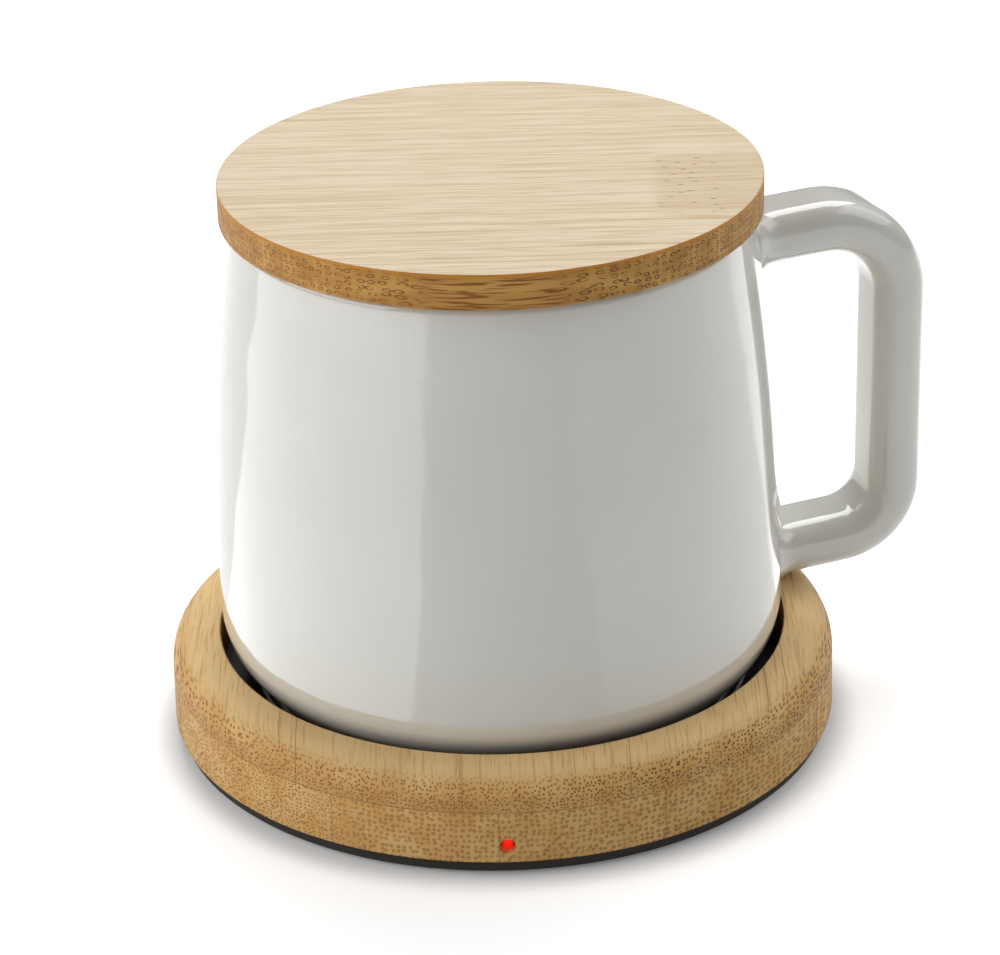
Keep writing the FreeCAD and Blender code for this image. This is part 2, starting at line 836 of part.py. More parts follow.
def return_springs():
    """Closed coils between the cover and the plate, each one unbroken tube."""
    wire = value("spring_wire")
    low = value("floor_top") + wire + value("touch_gap")
    high = value("seat") - wire - value("touch_gap")
    turns = value("spring_turns")
    coils = []
    for degrees in spread(3, "spring_turn"):
        place = spot(*polar("spring_ring", degrees), "0")
        helix = Part.makeHelix((high - low) / turns, high - low, value("spring_radius"))
        start = helix.Edges[0].valueAt(helix.Edges[0].FirstParameter)
        ahead = helix.Edges[0].tangentAt(helix.Edges[0].FirstParameter)
        section = Part.Wire([Part.Circle(start, ahead, wire).toShape()])
        coil = Part.Wire(helix.Edges).makePipeShell([section], True, True)
        coil.translate(place + Vector(0, 0, low))
        coils.append(coil)
    shaped("return_springs", coils)
    pitch = (high - low) / turns
    print("return spring: least gap between turns %.2f mm" % (pitch - 2 * wire))


# Circuit board
def circuit_board():
    body = new_body("circuit_board")
    points = [("-(board_half)", "-board_chord"), ("board_half", "-board_chord")]
    board = at_level(body, "board_bottom")
    left = Vector(value(points[0][0]), value(points[0][1]), 0)
    right = Vector(value(points[1][0]), value(points[1][1]), 0)
    board.addGeometry(Part.Arc(left, Vector(0, -value("board_radius"), 0), right), False)
    board.addGeometry(Part.LineSegment(right, left), False)
    board.addConstraint(Sketcher.Constraint("Coincident", 0, END, 1, START))
    board.addConstraint(Sketcher.Constraint("Coincident", 1, END, 0, START))
    pin_point(board, 1, END, points[0])
    pin_point(board, 1, START, points[1])
    constrain(board, "Radius", 0, "board_radius")
    raised(body, board, "board_thick")
    holes = [polar("leg_ring", degrees) + ("leg_radius + fit_gap",) for degrees in spread(4, "leg_turn")[2:]]
    holes.append(polar("post_ring", spread(3)[2]) + ("guide_head + fit_gap",))
    spring = polar("spring_ring", spread(3, "spring_turn")[2])
    holes.append(spring + ("spring_radius + spring_wire + fit_gap",))
    holes += [(x, y, "small_shank + screw_gap") for x, y in board_places()]
    sunk(body, rings(at_level(body, "board_bottom"), holes), "board_thick", reverse=True)


def board_screws():
    points = screw_points("small_head", "small_head_thick", "small_shank", "small_grip", "board_top", up=-1)
    turned_set("board_screws", points, {}, board_places())


def micro_switch():
    body = block("micro_switch", "0", "-(switch_place)", "board_top", "switch_size", "switch_size",
                 "switch_rise")
    bore = rings(at_level(body, "board_top + switch_rise"),
                 [("0", "-switch_place", "plunger_radius + touch_gap")])
    sunk(body, bore, "plunger_grip + touch_gap")


def switch_plunger():
    bottom = "board_top + switch_rise - plunger_grip"
    points = [
        ("0", bottom),
        ("plunger_radius", bottom),
        ("plunger_radius", "seat - touch_gap - plunger_edge"),
        ("plunger_radius - plunger_edge", "seat - touch_gap"),
        ("0", "seat - touch_gap"),
    ]
    turned_set("switch_plunger", points, {2: ("plunger_edge", -1)}, [("0", "-switch_place")])


def lying_can(body, x, y, radius, length):
    """A round component lying on the board along X or Y."""
    can = rings(sketch_on(body, "YZ_Plane", (y, "0", "%s - %s / 2" % (x, length))),
                [("0", "board_top + %s" % radius, radius)])
    raised(body, can, length)


def board_parts():
    block("relay", "-(relay_x)", "-(relay_y)", "board_top", "relay_length", "relay_width", "relay_rise",
          "part_edge")
    block("control_chip", "-chip_x", "-(chip_y)", "board_top", "chip_length", "chip_width", "chip_rise",
          "part_edge")
    capacitor = new_body("capacitor")
    lying_can(capacitor, "capacitor_x", "-capacitor_y", "capacitor_radius", "capacitor_length")
    resistors = new_body("resistors")
    for index in (-1, 0, 1):
        place = "-resistor_y + %d * resistor_pitch" % index
        lying_can(resistors, "resistor_x", place, "resistor_radius", "resistor_length")
    terminal = block("terminal_block", "terminal_x", "-(terminal_y)", "board_top", "terminal_length",
                     "terminal_width", "terminal_rise", "part_edge")
    ports = []
    for side in (-0.5, 0.5):
        ports.append(("terminal_x + %g * supply_pitch" % side, "-(terminal_y)", "supply_radius"))
    sunk(terminal, rings(at_level(terminal, "board_top + terminal_rise"), ports),
         "port_depth")


def supply_wires():
    """Two insulated wires from the lead entry round the frame's wall to the terminal block."""
    level = value("ear_bottom - supply_radius - touch_gap * 2")
    first = value("supply_first")
    last = value("supply_last")
    count = round((first - last) / value("supply_step"))
    tubes = []
    for side in (-0.5, 0.5):
        ring = value("supply_ring + (%g + 0.5) * supply_pitch" % side)
        x = side * value("supply_pitch")
        points = [
            Vector(-x, value("cavity_radius - supply_entry"), level),
            Vector(-x, ring + value("supply_straight"), level),
        ]
        for index in range(count + 1):
            angle = math.radians(first - index * (first - last) / count)
            points.append(Vector(ring * math.cos(angle), ring * math.sin(angle), level))
        near = "-(terminal_y) + terminal_width / 2 + fit_gap / 2"
        end = spot("terminal_x + %g * supply_pitch" % side, near, "0")
        points.append(Vector(end.x, end.y, level))
        tubes.append(tube_along(points, value("supply_radius"), value("supply_bend")))
    shaped("supply_wires", tubes)


# Lamp
def red_led():
    body = new_body("red_led")
    front = "base_radius - lamp_sunk"
    points = [
        ("0", "-(lamp_back)"),
        ("0", "-(%s)" % front),
        ("lamp_radius", "-(%s - lamp_radius)" % front),
        ("lamp_radius", "-(lamp_back + lamp_flange_thick)"),
        ("lamp_flange", "-(lamp_back + lamp_flange_thick)"),
        ("lamp_flange", "-(lamp_back)"),
    ]
    sketch = outline(at_level(body, "lamp_level"), points, {1: ("lamp_radius", -1)})
    turned(body, sketch)


def led_leads():
    tubes = []
    for side in (-1, 1):
        x = "%d * lamp_lead_half" % side
        points = [
            spot(x, "-lamp_back + touch_gap", "lamp_level"),
            spot(x, "-lamp_back + lamp_lead_run", "lamp_level"),
            spot(x, "-lamp_back + lamp_lead_run", "board_top"),
        ]
        tubes.append(tube_along(points, value("lamp_lead"), value("lamp_lead_bend")))
    shaped("led_leads", tubes)


# Lead entry
def cord_gland():
    body = new_body("cord_gland")
    foot = "cover_top + touch_gap"
    inside = "cavity_radius - fit_gap"
    neck = gland_outline(sketch_on(body, "XZ_Plane", ("0", "0", "-(%s)" % inside)),
                         "notch_radius - touch_gap", foot)
    raised(body, neck, "base_radius + base_draft + touch_gap * 2 - (%s)" % inside, reverse=True)
    outer = gland_outline(sketch_on(body, "XZ_Plane", ("0", "0", "-(base_radius + base_draft + touch_gap)")),
                          "notch_radius + gland_flange", foot)
    raised(body, outer, "gland_flange_thick", reverse=True)
    inner = gland_outline(sketch_on(body, "XZ_Plane", ("0", "0", "-(%s)" % inside)),
                          "notch_radius + gland_lip", foot)
    raised(body, inner, "gland_flange_thick")
    bore = rings(sketch_on(body, "XZ_Plane"), [("0", "gland_level", "gland_bore")])
    sunk(body, bore, "base_radius + cut_past")


def cord_clamp():
    """A saddle over the lead, with a flat ear each side."""
    body = new_body("cord_clamp")
    low = "floor_top + clamp_boss_rise"
    span = "gland_bore + clamp_thick"
    crown = "gland_level"
    wide = "clamp_half + small_head"
    points = [
        ("-(%s)" % wide, low),
        ("-(gland_bore)", low),
        ("-(gland_bore)", crown),
        ("0", "%s + gland_bore" % crown),
        ("gland_bore", crown),
        ("gland_bore", low),
        (wide, low),
        (wide, "%s + clamp_thick" % low),
        (span, "%s + clamp_thick" % low),
        (span, crown),
        ("0", "%s + %s" % (crown, span)),
        ("-(%s)" % span, crown),
        ("-(%s)" % span, "%s + clamp_thick" % low),
        ("-(%s)" % wide, "%s + clamp_thick" % low),
    ]
    arcs = {2: ("gland_bore", 1), 3: ("gland_bore", 1), 9: (span, -1), 10: (span, -1)}
    start = sketch_on(body, "XZ_Plane", ("0", "0", "-(clamp_place + clamp_width / 2)"))
    sketch = outline(start, points, arcs)
    raised(body, sketch, "clamp_width")
    holes = [(x, y, "small_shank + screw_gap") for x, y in clamp_places()]
    sunk(body, rings(at_level(body, low), holes), "clamp_thick", reverse=True)


def cord_clamp_screws():
    points = screw_points("small_head", "small_head_thick", "small_shank", "small_grip",
                          "floor_top + clamp_boss_rise + clamp_thick", up=-1)
    turned_set("cord_clamp_screws", points, {}, clamp_places())


# Mug
def mug():
    body = new_body("mug", turn="handle_turn")
    foot = "mug_radius - mug_corner"
    low = "mug_bottom"
    under = "mug_bottom + mug_foot_rise"
    shoulder = "mug_rim - mug_wall / 2"
    points = [
        ("0", under),
        ("%s - mug_foot_wall" % foot, under),
        ("%s - mug_foot_wall" % foot, low),
        ("%s - mug_foot_round" % foot, low),
        (foot, "%s + mug_foot_round" % low),
        (foot, under),
        ("mug_radius", "%s + mug_corner" % under),
        ("mug_mouth", shoulder),
        ("mug_mouth - mug_wall / 2", "mug_rim"),
        ("0", "mug_rim"),
    ]
    arcs = {
        3: ("mug_foot_round", -1),
        5: ("mug_corner", -1),
        6: ("mug_side_round", -1),
        7: ("mug_wall / 2", -1),
    }
    turned(body, outline(sketch_on(body, "XZ_Plane"), points, arcs))
    handle(body)
    floor = "%s + mug_floor" % under
    inner = "mug_radius - mug_wall"
    points = [
        ("0", floor),
        ("%s - mug_inner_corner" % inner, floor),
        (inner, "%s + mug_inner_corner" % floor),
        ("mug_mouth - mug_wall", shoulder),
        ("mug_mouth - mug_wall / 2", "mug_rim"),
        ("mug_mouth - mug_wall / 2", "mug_rim + mug_wall"),
        ("0", "mug_rim + mug_wall"),
    ]
    arcs = {
        1: ("mug_inner_corner", -1),
        2: ("mug_side_round - mug_wall", -1),
        3: ("mug_wall / 2", 1),
    }
    turned(body, outline(sketch_on(body, "XZ_Plane"), points, arcs), cut=True)


def handle(body):
    """A squared loop of rounded section, swept along two sloping bars and an upright."""
    lean = "atan(handle_slope)"
    start = "mug_mouth - mug_wall"
    top = "mug_bottom + handle_top"
    low = "mug_bottom + handle_low"
    run_top = "handle_bend_top * tan((90 deg + %s) / 2)" % lean
    run_low = "handle_bend_low * tan((90 deg - %s) / 2)" % lean
    points = [
        (start, "%s - handle_slope * (handle_reach - %s)" % (top, "(%s)" % start)),
        ("handle_reach - %s * cos(%s)" % (run_top, lean), "%s - %s * sin(%s)" % (top, run_top, lean)),
        ("handle_reach", "%s - %s" % (top, run_top)),
        ("handle_reach", "%s + %s" % (low, run_low)),
        ("handle_reach - %s * cos(%s)" % (run_low, lean), "%s - %s * sin(%s)" % (low, run_low, lean)),
        (start, "%s - handle_slope * (handle_reach - %s)" % (low, "(%s)" % start)),
    ]
    arcs = {1: ("handle_bend_top", 1), 3: ("handle_bend_low", 1)}
    spine = outline(sketch_on(body, "XZ_Plane"), points, arcs, closed=False)
    half_wide = "handle_width / 2"
    half_high = "handle_thick / 2"
    centre = "mug_bottom + handle_top - handle_slope * (handle_reach - %s)" % ("(%s)" % start)
    corners = []
    for i, j, along in ((1, -1, 0), (1, 1, 1), (-1, 1, 0), (-1, -1, 1)):
        near = ("%d * (%s)" % (i, half_wide), "%s + %d * (%s - handle_edge)" % (centre, j, half_high))
        far = ("%d * (%s - handle_edge)" % (i, half_wide), "%s + %d * (%s)" % (centre, j, half_high))
        corners += [near, far] if along else [far, near]
    section = outline(sketch_on(body, "YZ_Plane", ("0", "0", start)), corners,
                      {index: ("handle_edge", -1) for index in (0, 2, 4, 6)})
    before = body_volume(body)
    pipe = body.newObject("PartDesign::AdditivePipe", "mug_handle")
    pipe.Profile = section
    pipe.Spine = (spine, ["Edge%d" % (index + 1) for index in range(len(points) - 1)])
    doc.recompute()
    check_change(body, before, False)


# Lid
def lid():
    body = new_body("lid")
    top = "lid_bottom + lid_thick"
    ring = "plug_radius - plug_groove"
    middle = "lid_bottom - plug_rise / 2"
    points = [
        ("0", "lid_bottom - plug_rise"),
        ("plug_radius - lid_edge", "lid_bottom - plug_rise"),
        ("plug_radius", "lid_bottom - plug_rise + lid_edge"),
        ("plug_radius", "%s - plug_groove_rise / 2" % middle),
        (ring, "%s - plug_groove_rise / 2" % middle),
        (ring, "%s + plug_groove_rise / 2" % middle),
        ("plug_radius", "%s + plug_groove_rise / 2" % middle),
        ("plug_radius", "lid_bottom"),
        ("lid_radius - lid_edge", "lid_bottom"),
        ("lid_radius", "lid_bottom + lid_edge"),
        ("lid_radius", "%s - lid_edge" % top),
        ("lid_radius - lid_edge", top),
        ("0", top),
    ]
    turned(body, outline(sketch_on(body, "XZ_Plane"), points))


def lid_seal():
    body = new_body("lid_seal")
    middle = "lid_bottom - plug_rise / 2"
    half = "plug_groove_rise / 2 - touch_gap"
    inner = "plug_radius - plug_groove + touch_gap"
    outer = "mug_mouth - mug_wall - lid_seal_gap"
    points = [
        (inner, "%s - (%s)" % (middle, half)),
        (outer, "%s - (%s) / 2" % (middle, half)),
        (outer, "%s + (%s) / 2" % (middle, half)),
        (inner, "%s + (%s)" % (middle, half)),
    ]
    turned(body, outline(sketch_on(body, "XZ_Plane"), points))


def build():
    bamboo_base()
    bottom_cover()
    rubber_feet()
    cover_screws()
    plate_frame()
    plate_seal()
    heating_plate()
    guide_screws()
    flat_ring("heater_element", "heater_radius", "heater_bore", "heater_bottom", "heater_thick")
    flat_ring("heater_pad", "pad_radius", "heater_bore", "pad_bottom", "pad_thick")
    heater_clamp()
    clamp_screws()
    thermostat()
    thermal_fuse()
    heater_leads()
    return_springs()
    circuit_board()
    board_screws()
    micro_switch()
    switch_plunger()
    board_parts()
    supply_wires()
    red_led()
    led_leads()
    cord_gland()
    cord_clamp()
    cord_clamp_screws()
    mug()
    lid()
    lid_seal()


def check_model():
    doc.recompute()
    for item in doc.Objects:
        if "Invalid" in item.State or "Error" in item.State:
            raise RuntimeError(item.Label + " is " + " ".join(item.State))
    for piece in pieces:
        if piece.Shape.isNull() or not piece.Shape.isValid():
            raise RuntimeError(piece.Label + " has no valid shape")


def export():
    os.makedirs("parts", exist_ok=True)
    for piece in pieces:
        piece.Shape.exportStep(os.path.join("parts", piece.Label + ".step"))


build()
check_model()
export()
print("%d sub-parts written" % len(pieces))
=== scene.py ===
import math

import bmesh
import bpy
from mathutils import Matrix, Vector


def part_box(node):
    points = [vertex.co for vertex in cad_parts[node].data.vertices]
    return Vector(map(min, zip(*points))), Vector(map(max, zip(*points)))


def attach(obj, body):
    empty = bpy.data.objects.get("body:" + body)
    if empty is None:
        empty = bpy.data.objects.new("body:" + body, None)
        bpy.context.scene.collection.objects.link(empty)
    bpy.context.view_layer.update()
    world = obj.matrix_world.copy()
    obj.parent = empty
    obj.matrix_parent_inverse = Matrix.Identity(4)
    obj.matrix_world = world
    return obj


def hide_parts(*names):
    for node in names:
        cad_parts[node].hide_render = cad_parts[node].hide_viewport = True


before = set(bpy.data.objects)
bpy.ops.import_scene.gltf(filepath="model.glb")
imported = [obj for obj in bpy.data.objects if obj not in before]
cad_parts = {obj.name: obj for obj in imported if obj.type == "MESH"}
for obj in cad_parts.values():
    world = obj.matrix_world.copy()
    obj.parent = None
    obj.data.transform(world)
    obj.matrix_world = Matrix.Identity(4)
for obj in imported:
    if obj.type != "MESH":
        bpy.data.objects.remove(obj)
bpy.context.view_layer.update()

MM = 0.001
TURN = 2 * math.pi
QUARTER = 90.0


def reach(node):
    """Lowest and highest corner of a solid at rest, in millimetres."""
    low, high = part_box(node)
    return low / MM, high / MM


# Camera, solved from the outlines of the lid, base and mug in the photograph
CAMERA_PLACE = Vector((0.14, -565.31, 316.54)) * MM
CAMERA_PITCH = math.radians(25.548)
CAMERA_ROLL = math.radians(-1.516)
CAMERA_YAW = math.radians(0.019)
CAMERA_NEAR = 0.02
FOCAL_PX = 3504.67
PICTURE_WIDTH_PX = 1000
SENSOR_MM = 36.0

# Base, in millimetres
base_low, base_high = reach("bamboo_base")
lamp_low, lamp_high = reach("red_led")
BASE_DRAFT = 0.15
BASE_RADIUS = base_high.x - BASE_DRAFT
BASE_ROUND = 5.4
BASE_EDGE = 0.25
BASE_BOTTOM = base_low.z
BASE_TOP = base_high.z
RECESS_RADIUS = 51.1
RECESS_LIP = 0.5
LEDGE = 10.4
CAVITY_RADIUS = 53.6
LAMP_LEVEL = (lamp_low.z + lamp_high.z) / 2
LAMP_HOLE = 1.4
LAMP_HOLE_EDGE = 0.18
LAMP_HOLE_DEPTH = 9.0
LENS_DROP = 0.45
NOTCH_RADIUS = 2.9
GLAND_LEVEL = 5.7
CUTTER_PAST = 2.0
NOTCH_PAST = 1.0

# Mug, in millimetres
mug_low, mug_high = reach("mug")
MUG_BOTTOM = mug_low.z
MUG_RIM = mug_high.z
MUG_RADIUS = 50.6
MUG_MOUTH = 45.3
MUG_SIDE_ROUND = 455.0
MUG_CORNER = 12.6
MUG_FOOT_RISE = 1.0
MUG_FOOT_WALL = 3.0
MUG_FOOT_ROUND = 0.8
MUG_WALL = 3.6
MUG_FLOOR = 5.0
MUG_INNER_CORNER = 10.0
MUG_TAPER_POWER = 1.9

# Handle, in millimetres; the slope is a share of its reach
HANDLE_REACH = 74.8
HANDLE_TOP = 88.55
HANDLE_LOW = 26.35
HANDLE_SLOPE = 0.065
HANDLE_WIDTH = 14.5
HANDLE_THICK = 9.6
HANDLE_EDGE = 4.2
HANDLE_BEND_TOP = 14.0
HANDLE_BEND_LOW = 10.5
HANDLE_TURN = math.radians(16.0)
FLARE_REACH = 5.0
FLARE_SIZE = 2.2
FLARE_START = 0.4
FLARE_POWER = 2.4

# Lid, in millimetres
lid_low, lid_high = reach("lid")
PLUG_RADIUS = 40.2
PLUG_RISE = 6.0
PLUG_GROOVE = 1.2
PLUG_GROOVE_RISE = 2.0
LID_BOTTOM = lid_low.z + PLUG_RISE
LID_TOP = lid_high.z
LID_RADIUS = lid_high.x
LID_EDGE = 0.22
LID_RINGS = (0.75, 0.5, 0.25, 0)

# Fineness of the meshes
LATHE_STEPS = 256
CUTTER_STEPS = 48
BAR_STEPS = 20
UPRIGHT_STEPS = 24
SMOOTH_ANGLE = math.radians(35)
SOLID_SMOOTH_ANGLE = math.radians(30)
SAME_POINT = 1e-6


# Outlines
def arc(centre, radius, first, last, steps):
    """Points on an arc in a plane, with angles in degrees."""
    points = []
    for index in range(steps + 1):
        angle = math.radians(first + (last - first) * index / steps)
        points.append((centre[0] + radius * math.cos(angle), centre[1] + radius * math.sin(angle)))
    return points


def arc_between(start, end, radius, steps):
    """An arc that bulges outward, to the right of the way from start to end."""
    a = Vector(start)
    b = Vector(end)
    chord = b - a
    left = Vector((-chord.y, chord.x)).normalized()
    centre = (a + b) / 2 + left * math.sqrt(radius ** 2 - (chord.length / 2) ** 2)
    first = math.atan2(a.y - centre.y, a.x - centre.x)
    last = math.atan2(b.y - centre.y, b.x - centre.x)
    sweep = math.degrees((last - first) % TURN)
    return arc(centre, radius, math.degrees(first), math.degrees(first) + sweep, steps)


def between(first, last, steps):
    """Points evenly spaced on a straight line."""
    points = []
    for index in range(steps + 1):
        share = index / steps
        points.append(tuple(a + (b - a) * share for a, b in zip(first, last)))
    return points


def joined(*stretches):
    """One outline from stretches of points, without doubled points."""
    outline = []
    for stretch in stretches:
        for point in stretch:
            if not outline or math.dist(outline[-1], point) > SAME_POINT:
                outline.append(point)
    return outline


def rounded_rectangle(width, thick, corner, steps):
    """Points round a section, across and through."""
    points = []
    for quarter, (i, j) in enumerate(((1, 1), (-1, 1), (-1, -1), (1, -1))):
        centre = (i * (width / 2 - corner), j * (thick / 2 - corner))
        start = quarter * QUARTER
        points += arc(centre, corner, start, start + QUARTER, steps)
    return points


# Mesh helpers
def add_row(bm, points):
    """Vertices at points given in millimetres."""
    return [bm.verts.new([number * MM for number in point]) for point in points]


def bridge(bm, low, high):
    """Faces between two closed rows, either of which may be a single point."""
    count = max(len(low), len(high))
    low = low * (count // len(low))
    high = high * (count // len(high))
    for index in range(count):
        after = (index + 1) % count
        corners = (low[index], low[after], high[after], high[index])
        bm.faces.new(list(dict.fromkeys(corners)))


def smooth(mesh, angle):
    mesh.shade_smooth()
    mesh.set_sharp_from_angle(angle=angle)


def finish_mesh(name, bm):
    """An object from a built form, with its normals outward and smooth shading."""
    bmesh.ops.recalc_face_normals(bm, faces=bm.faces)
    mesh = bpy.data.meshes.new(name)
    bm.to_mesh(mesh)
    bm.free()
    smooth(mesh, SMOOTH_ANGLE)
    piece = bpy.data.objects.new(name, mesh)
    bpy.context.scene.collection.objects.link(piece)
    return piece


def lathe(name, outline, closed=False):
    """Turn an outline of (radius, height) points about the Z axis."""
    angles = [TURN * index / LATHE_STEPS for index in range(LATHE_STEPS)]
    bm = bmesh.new()
    rows = []
    for radius, height in outline:
        around = angles if radius > SAME_POINT else angles[:1]
        rows.append(add_row(bm, [(radius * math.cos(a), radius * math.sin(a), height) for a in around]))
    for low, high in zip(rows, rows[1:]):
        bridge(bm, low, high)
    if closed:
        bridge(bm, rows[-1], rows[0])
    return finish_mesh(name, bm)


def skin(name, rows):
    """A closed mesh through rows of points, each row a ring, with flat ends."""
    bm = bmesh.new()
    rings = [add_row(bm, row) for row in rows]
    for low, high in zip(rings, rings[1:]):
        bridge(bm, low, high)
    for end in (rings[0], rings[-1]):
        bm.faces.new(end)
    return finish_mesh(name, bm)


def swept(name, path, section, swell):
    """Sweep a section along a path in the XZ plane, made larger at each point by its swell."""
    rows = []
    for index, (spot, extra) in enumerate(zip(path, swell)):
        before = Vector(path[max(index - 1, 0)])
        after = Vector(path[min(index + 1, len(path) - 1)])
        ahead = (after - before).normalized()
        row = []
        for point in section:
            across, through = Vector(point) + Vector(point).normalized() * extra
            row.append((spot[0] - ahead.y * through, across, spot[1] + ahead.x * through))
        rows.append(row)
    return skin(name, rows)


def combine(piece, other, operation):
    """Join another mesh to a piece or cut it out, and drop the other."""
    tool = piece.modifiers.new("shape", "BOOLEAN")
    tool.operation = operation
    tool.object = other
    tool.solver = "EXACT"
    depsgraph = bpy.context.evaluated_depsgraph_get()
    result = bpy.data.meshes.new_from_object(piece.evaluated_get(depsgraph))
    piece.modifiers.remove(tool)
    old = piece.data
    piece.data = result
    bpy.data.meshes.remove(old)
    bpy.data.objects.remove(other)
    smooth(piece.data, SMOOTH_ANGLE)


# Shader helpers
class Graph:
    """Builds one material's nodes in short calls. Lengths in its patterns are in millimetres."""

    def __init__(self, name):
        self.material = bpy.data.materials.new(name)
        self.material.use_nodes = True
        self.tree = self.material.node_tree
        self.tree.nodes.clear()
        self.output = self.tree.nodes.new("ShaderNodeOutputMaterial")
        place = self.node("TexCoord").outputs
        scaled = self.node("VectorMath", {"operation": "SCALE"}, Vector=place["Object"], Scale=1 / MM)
        self.x, self.y, self.z = self.node("SeparateXYZ", Vector=scaled.outputs[0]).outputs
        self.up = self.node("SeparateXYZ", Vector=place["Normal"]).outputs["Z"]
        self.place = self.vector(self.x, self.y, self.z)
        squares = self.plus(self.times(self.x, self.x), self.times(self.y, self.y))
        self.radius = self.math("SQRT", squares)

    def put(self, socket, given):
        """Link a socket, or set its constant."""
        if isinstance(given, bpy.types.NodeSocket):
            self.tree.links.new(given, socket)
        elif given is not None:
            socket.default_value = given

    def node(self, kind, settings=None, **inputs):
        item = self.tree.nodes.new("ShaderNode" + kind)
        for name, setting in (settings or {}).items():
            setattr(item, name, setting)
        for name, given in inputs.items():
            self.put(item.inputs[name.replace("_", " ")], given)
        return item

    def math(self, operation, a, b=None, clamp=False):
        item = self.node("Math", {"operation": operation, "use_clamp": clamp})
        self.put(item.inputs[0], a)
        self.put(item.inputs[1], b)
        return item.outputs[0]

    def plus(self, a, b):
        return self.math("ADD", a, b)

    def minus(self, a, b):
        return self.math("SUBTRACT", a, b)

    def times(self, a, b):
        return self.math("MULTIPLY", a, b)

    def larger(self, a, b):
        return self.math("MAXIMUM", a, b)

    def rest(self, a):
        """What is left of one."""
        return self.minus(1.0, a)

    def apart(self, a, b):
        """Distance between two numbers."""
        return self.math("ABSOLUTE", self.minus(a, b))

    def blend(self, factor, a, b):
        """From a to b, which are colours or numbers."""
        item = self.node("Mix", {"data_type": "RGBA"}, Factor=factor)
        self.put(item.inputs[6], a)
        self.put(item.inputs[7], b)
        return item.outputs[2]

    def step(self, given, low, high, to_low=0.0, to_high=1.0):
        """Smooth change of a number from to_low to to_high while it goes from low to high."""
        item = self.node("MapRange", {"interpolation_type": "SMOOTHSTEP"})
        for socket, number in zip(item.inputs[:5], (given, low, high, to_low, to_high)):
            self.put(socket, number)
        return item.outputs[0]

    def fall(self, given, low, high):
        """One up to low, nothing from high on."""
        return self.step(given, low, high, 1.0, 0.0)

    def noise(self, vector, scale, detail=2.0, roughness=0.5):
        item = self.node("TexNoise", Vector=vector, Scale=scale, Detail=detail, Roughness=roughness)
        return item.outputs[0]

    def cells(self, vector, pitch, randomness, feature="F1"):
        """Distance to the nearest point, or border, of a scattered grid, as a share of its pitch."""
        settings = {"voronoi_dimensions": "2D", "feature": feature}
        item = self.node("TexVoronoi", settings, Vector=vector, Scale=1 / pitch, Randomness=randomness)
        return item.outputs["Distance"]

    def vector(self, x, y, z=0.0):
        return self.node("CombineXYZ", X=x, Y=y, Z=z).outputs[0]

    def surface(self, colour, roughness, relief=None, depth=0.0, **fixed):
        """Finish the material with a surface whose relief is bumped to a depth in metres."""
        shader = self.node("BsdfPrincipled", Base_Color=colour, Roughness=roughness, **fixed)
        if relief is not None:
            bump = self.node("Bump", Height=relief, Distance=depth, Strength=1.0)
            self.put(shader.inputs["Normal"], bump.outputs[0])
        self.put(self.output.inputs["Surface"], shader.outputs[0])
        return self.material


def srgb(red, green, blue):
    """A colour given as 0 to 255 screen values, as linear light."""
    def linear(number):
        part = number / 255
        return part / 12.92 if part <= 0.04045 else ((part + 0.055) / 1.055) ** 2.4
    return (linear(red), linear(green), linear(blue), 1.0)


def shaded(colour, factor):
    """A colour made darker or brighter, up to white."""
    return tuple(min(1.0, part * factor) for part in colour[:3]) + (1.0,)


# Bamboo of the base, with its fibres along Y, in millimetres
SEAM_LEVEL = 12.6
SEAM_BLUR = 0.1
STRIP_WIDTH = 28.4
STRIP_START = 1.4
STRIP_SHIFT = 6.0
GLUE_FULL = 0.02
GLUE_END = 0.14
BUNDLE_PITCH = 0.98
DOT_PITCH = 0.66
DOTS_START = 11.8
DOTS_FULL = 13.6
LEFT_DOTS_FULL = -34.0
LEFT_DOTS_END = -22.0
# Darker band on the side of the upper layer, fading out upwards between these: painted shade
SHADE_BAND_START = 16.6
SHADE_BAND_FULL = 14.2
# Fibre marks go from the left colour to the darker right one between these: painted shade
FIBRE_SHADE_START = -10.0
FIBRE_SHADE_FULL = 34.0
WOOD_SPECULAR = 0.25
BASE_RELIEF = 0.05 * MM
BAMBOO_PALE = srgb(232, 192, 126)
BAMBOO_WARM = srgb(216, 168, 98)
BAMBOO_DULL = srgb(176, 130, 64)
# Colour of the painted shade band on the side
BAMBOO_SHADE_BAND = srgb(166, 116, 50)
BAMBOO_TOP = srgb(242, 210, 154)
# Dark brown of the bundle cores, also used as painted shade on the recess wall
BAMBOO_CORE_AND_SHADE = srgb(150, 100, 48)
FIBRE_LEFT = srgb(152, 84, 22)
FIBRE_SHADED_RIGHT = srgb(78, 52, 26)
FIBRE_TOP = srgb(186, 118, 46)
GLUE_BROWN = srgb(120, 80, 36)


def wavy_section(g, across, stretched, wander):
    """Place across the fibres and height, both swaying slowly along the stretched direction."""
    sway = g.times(g.minus(g.noise(stretched, scale=0.10), 0.5), wander)
    return g.plus(across, sway), g.plus(g.z, g.times(sway, 0.5))


def base_strips(g):
    """Share of the upper layer, a tone for each glued strip, and the glue lines."""
    upper = g.step(g.z, SEAM_LEVEL - SEAM_BLUR, SEAM_LEVEL + SEAM_BLUR)
    shifted = g.plus(g.x, g.times(upper, STRIP_SHIFT))
    lane = g.math("DIVIDE", g.plus(shifted, STRIP_START), STRIP_WIDTH)
    index = g.math("FLOOR", lane)
    inside = g.minus(lane, index)
    grid = g.vector(index, upper)
    tone = g.node("TexWhiteNoise", {"noise_dimensions": "2D"}, Vector=grid).outputs[0]
    upright_line = g.fall(g.math("MINIMUM", inside, g.rest(inside)), low=0.0, high=0.006)
    level_line = g.fall(g.apart(g.z, SEAM_LEVEL), GLUE_FULL, GLUE_END)
    lines = g.larger(g.times(upright_line, 0.55), g.times(level_line, 0.6))
    return upper, tone, lines


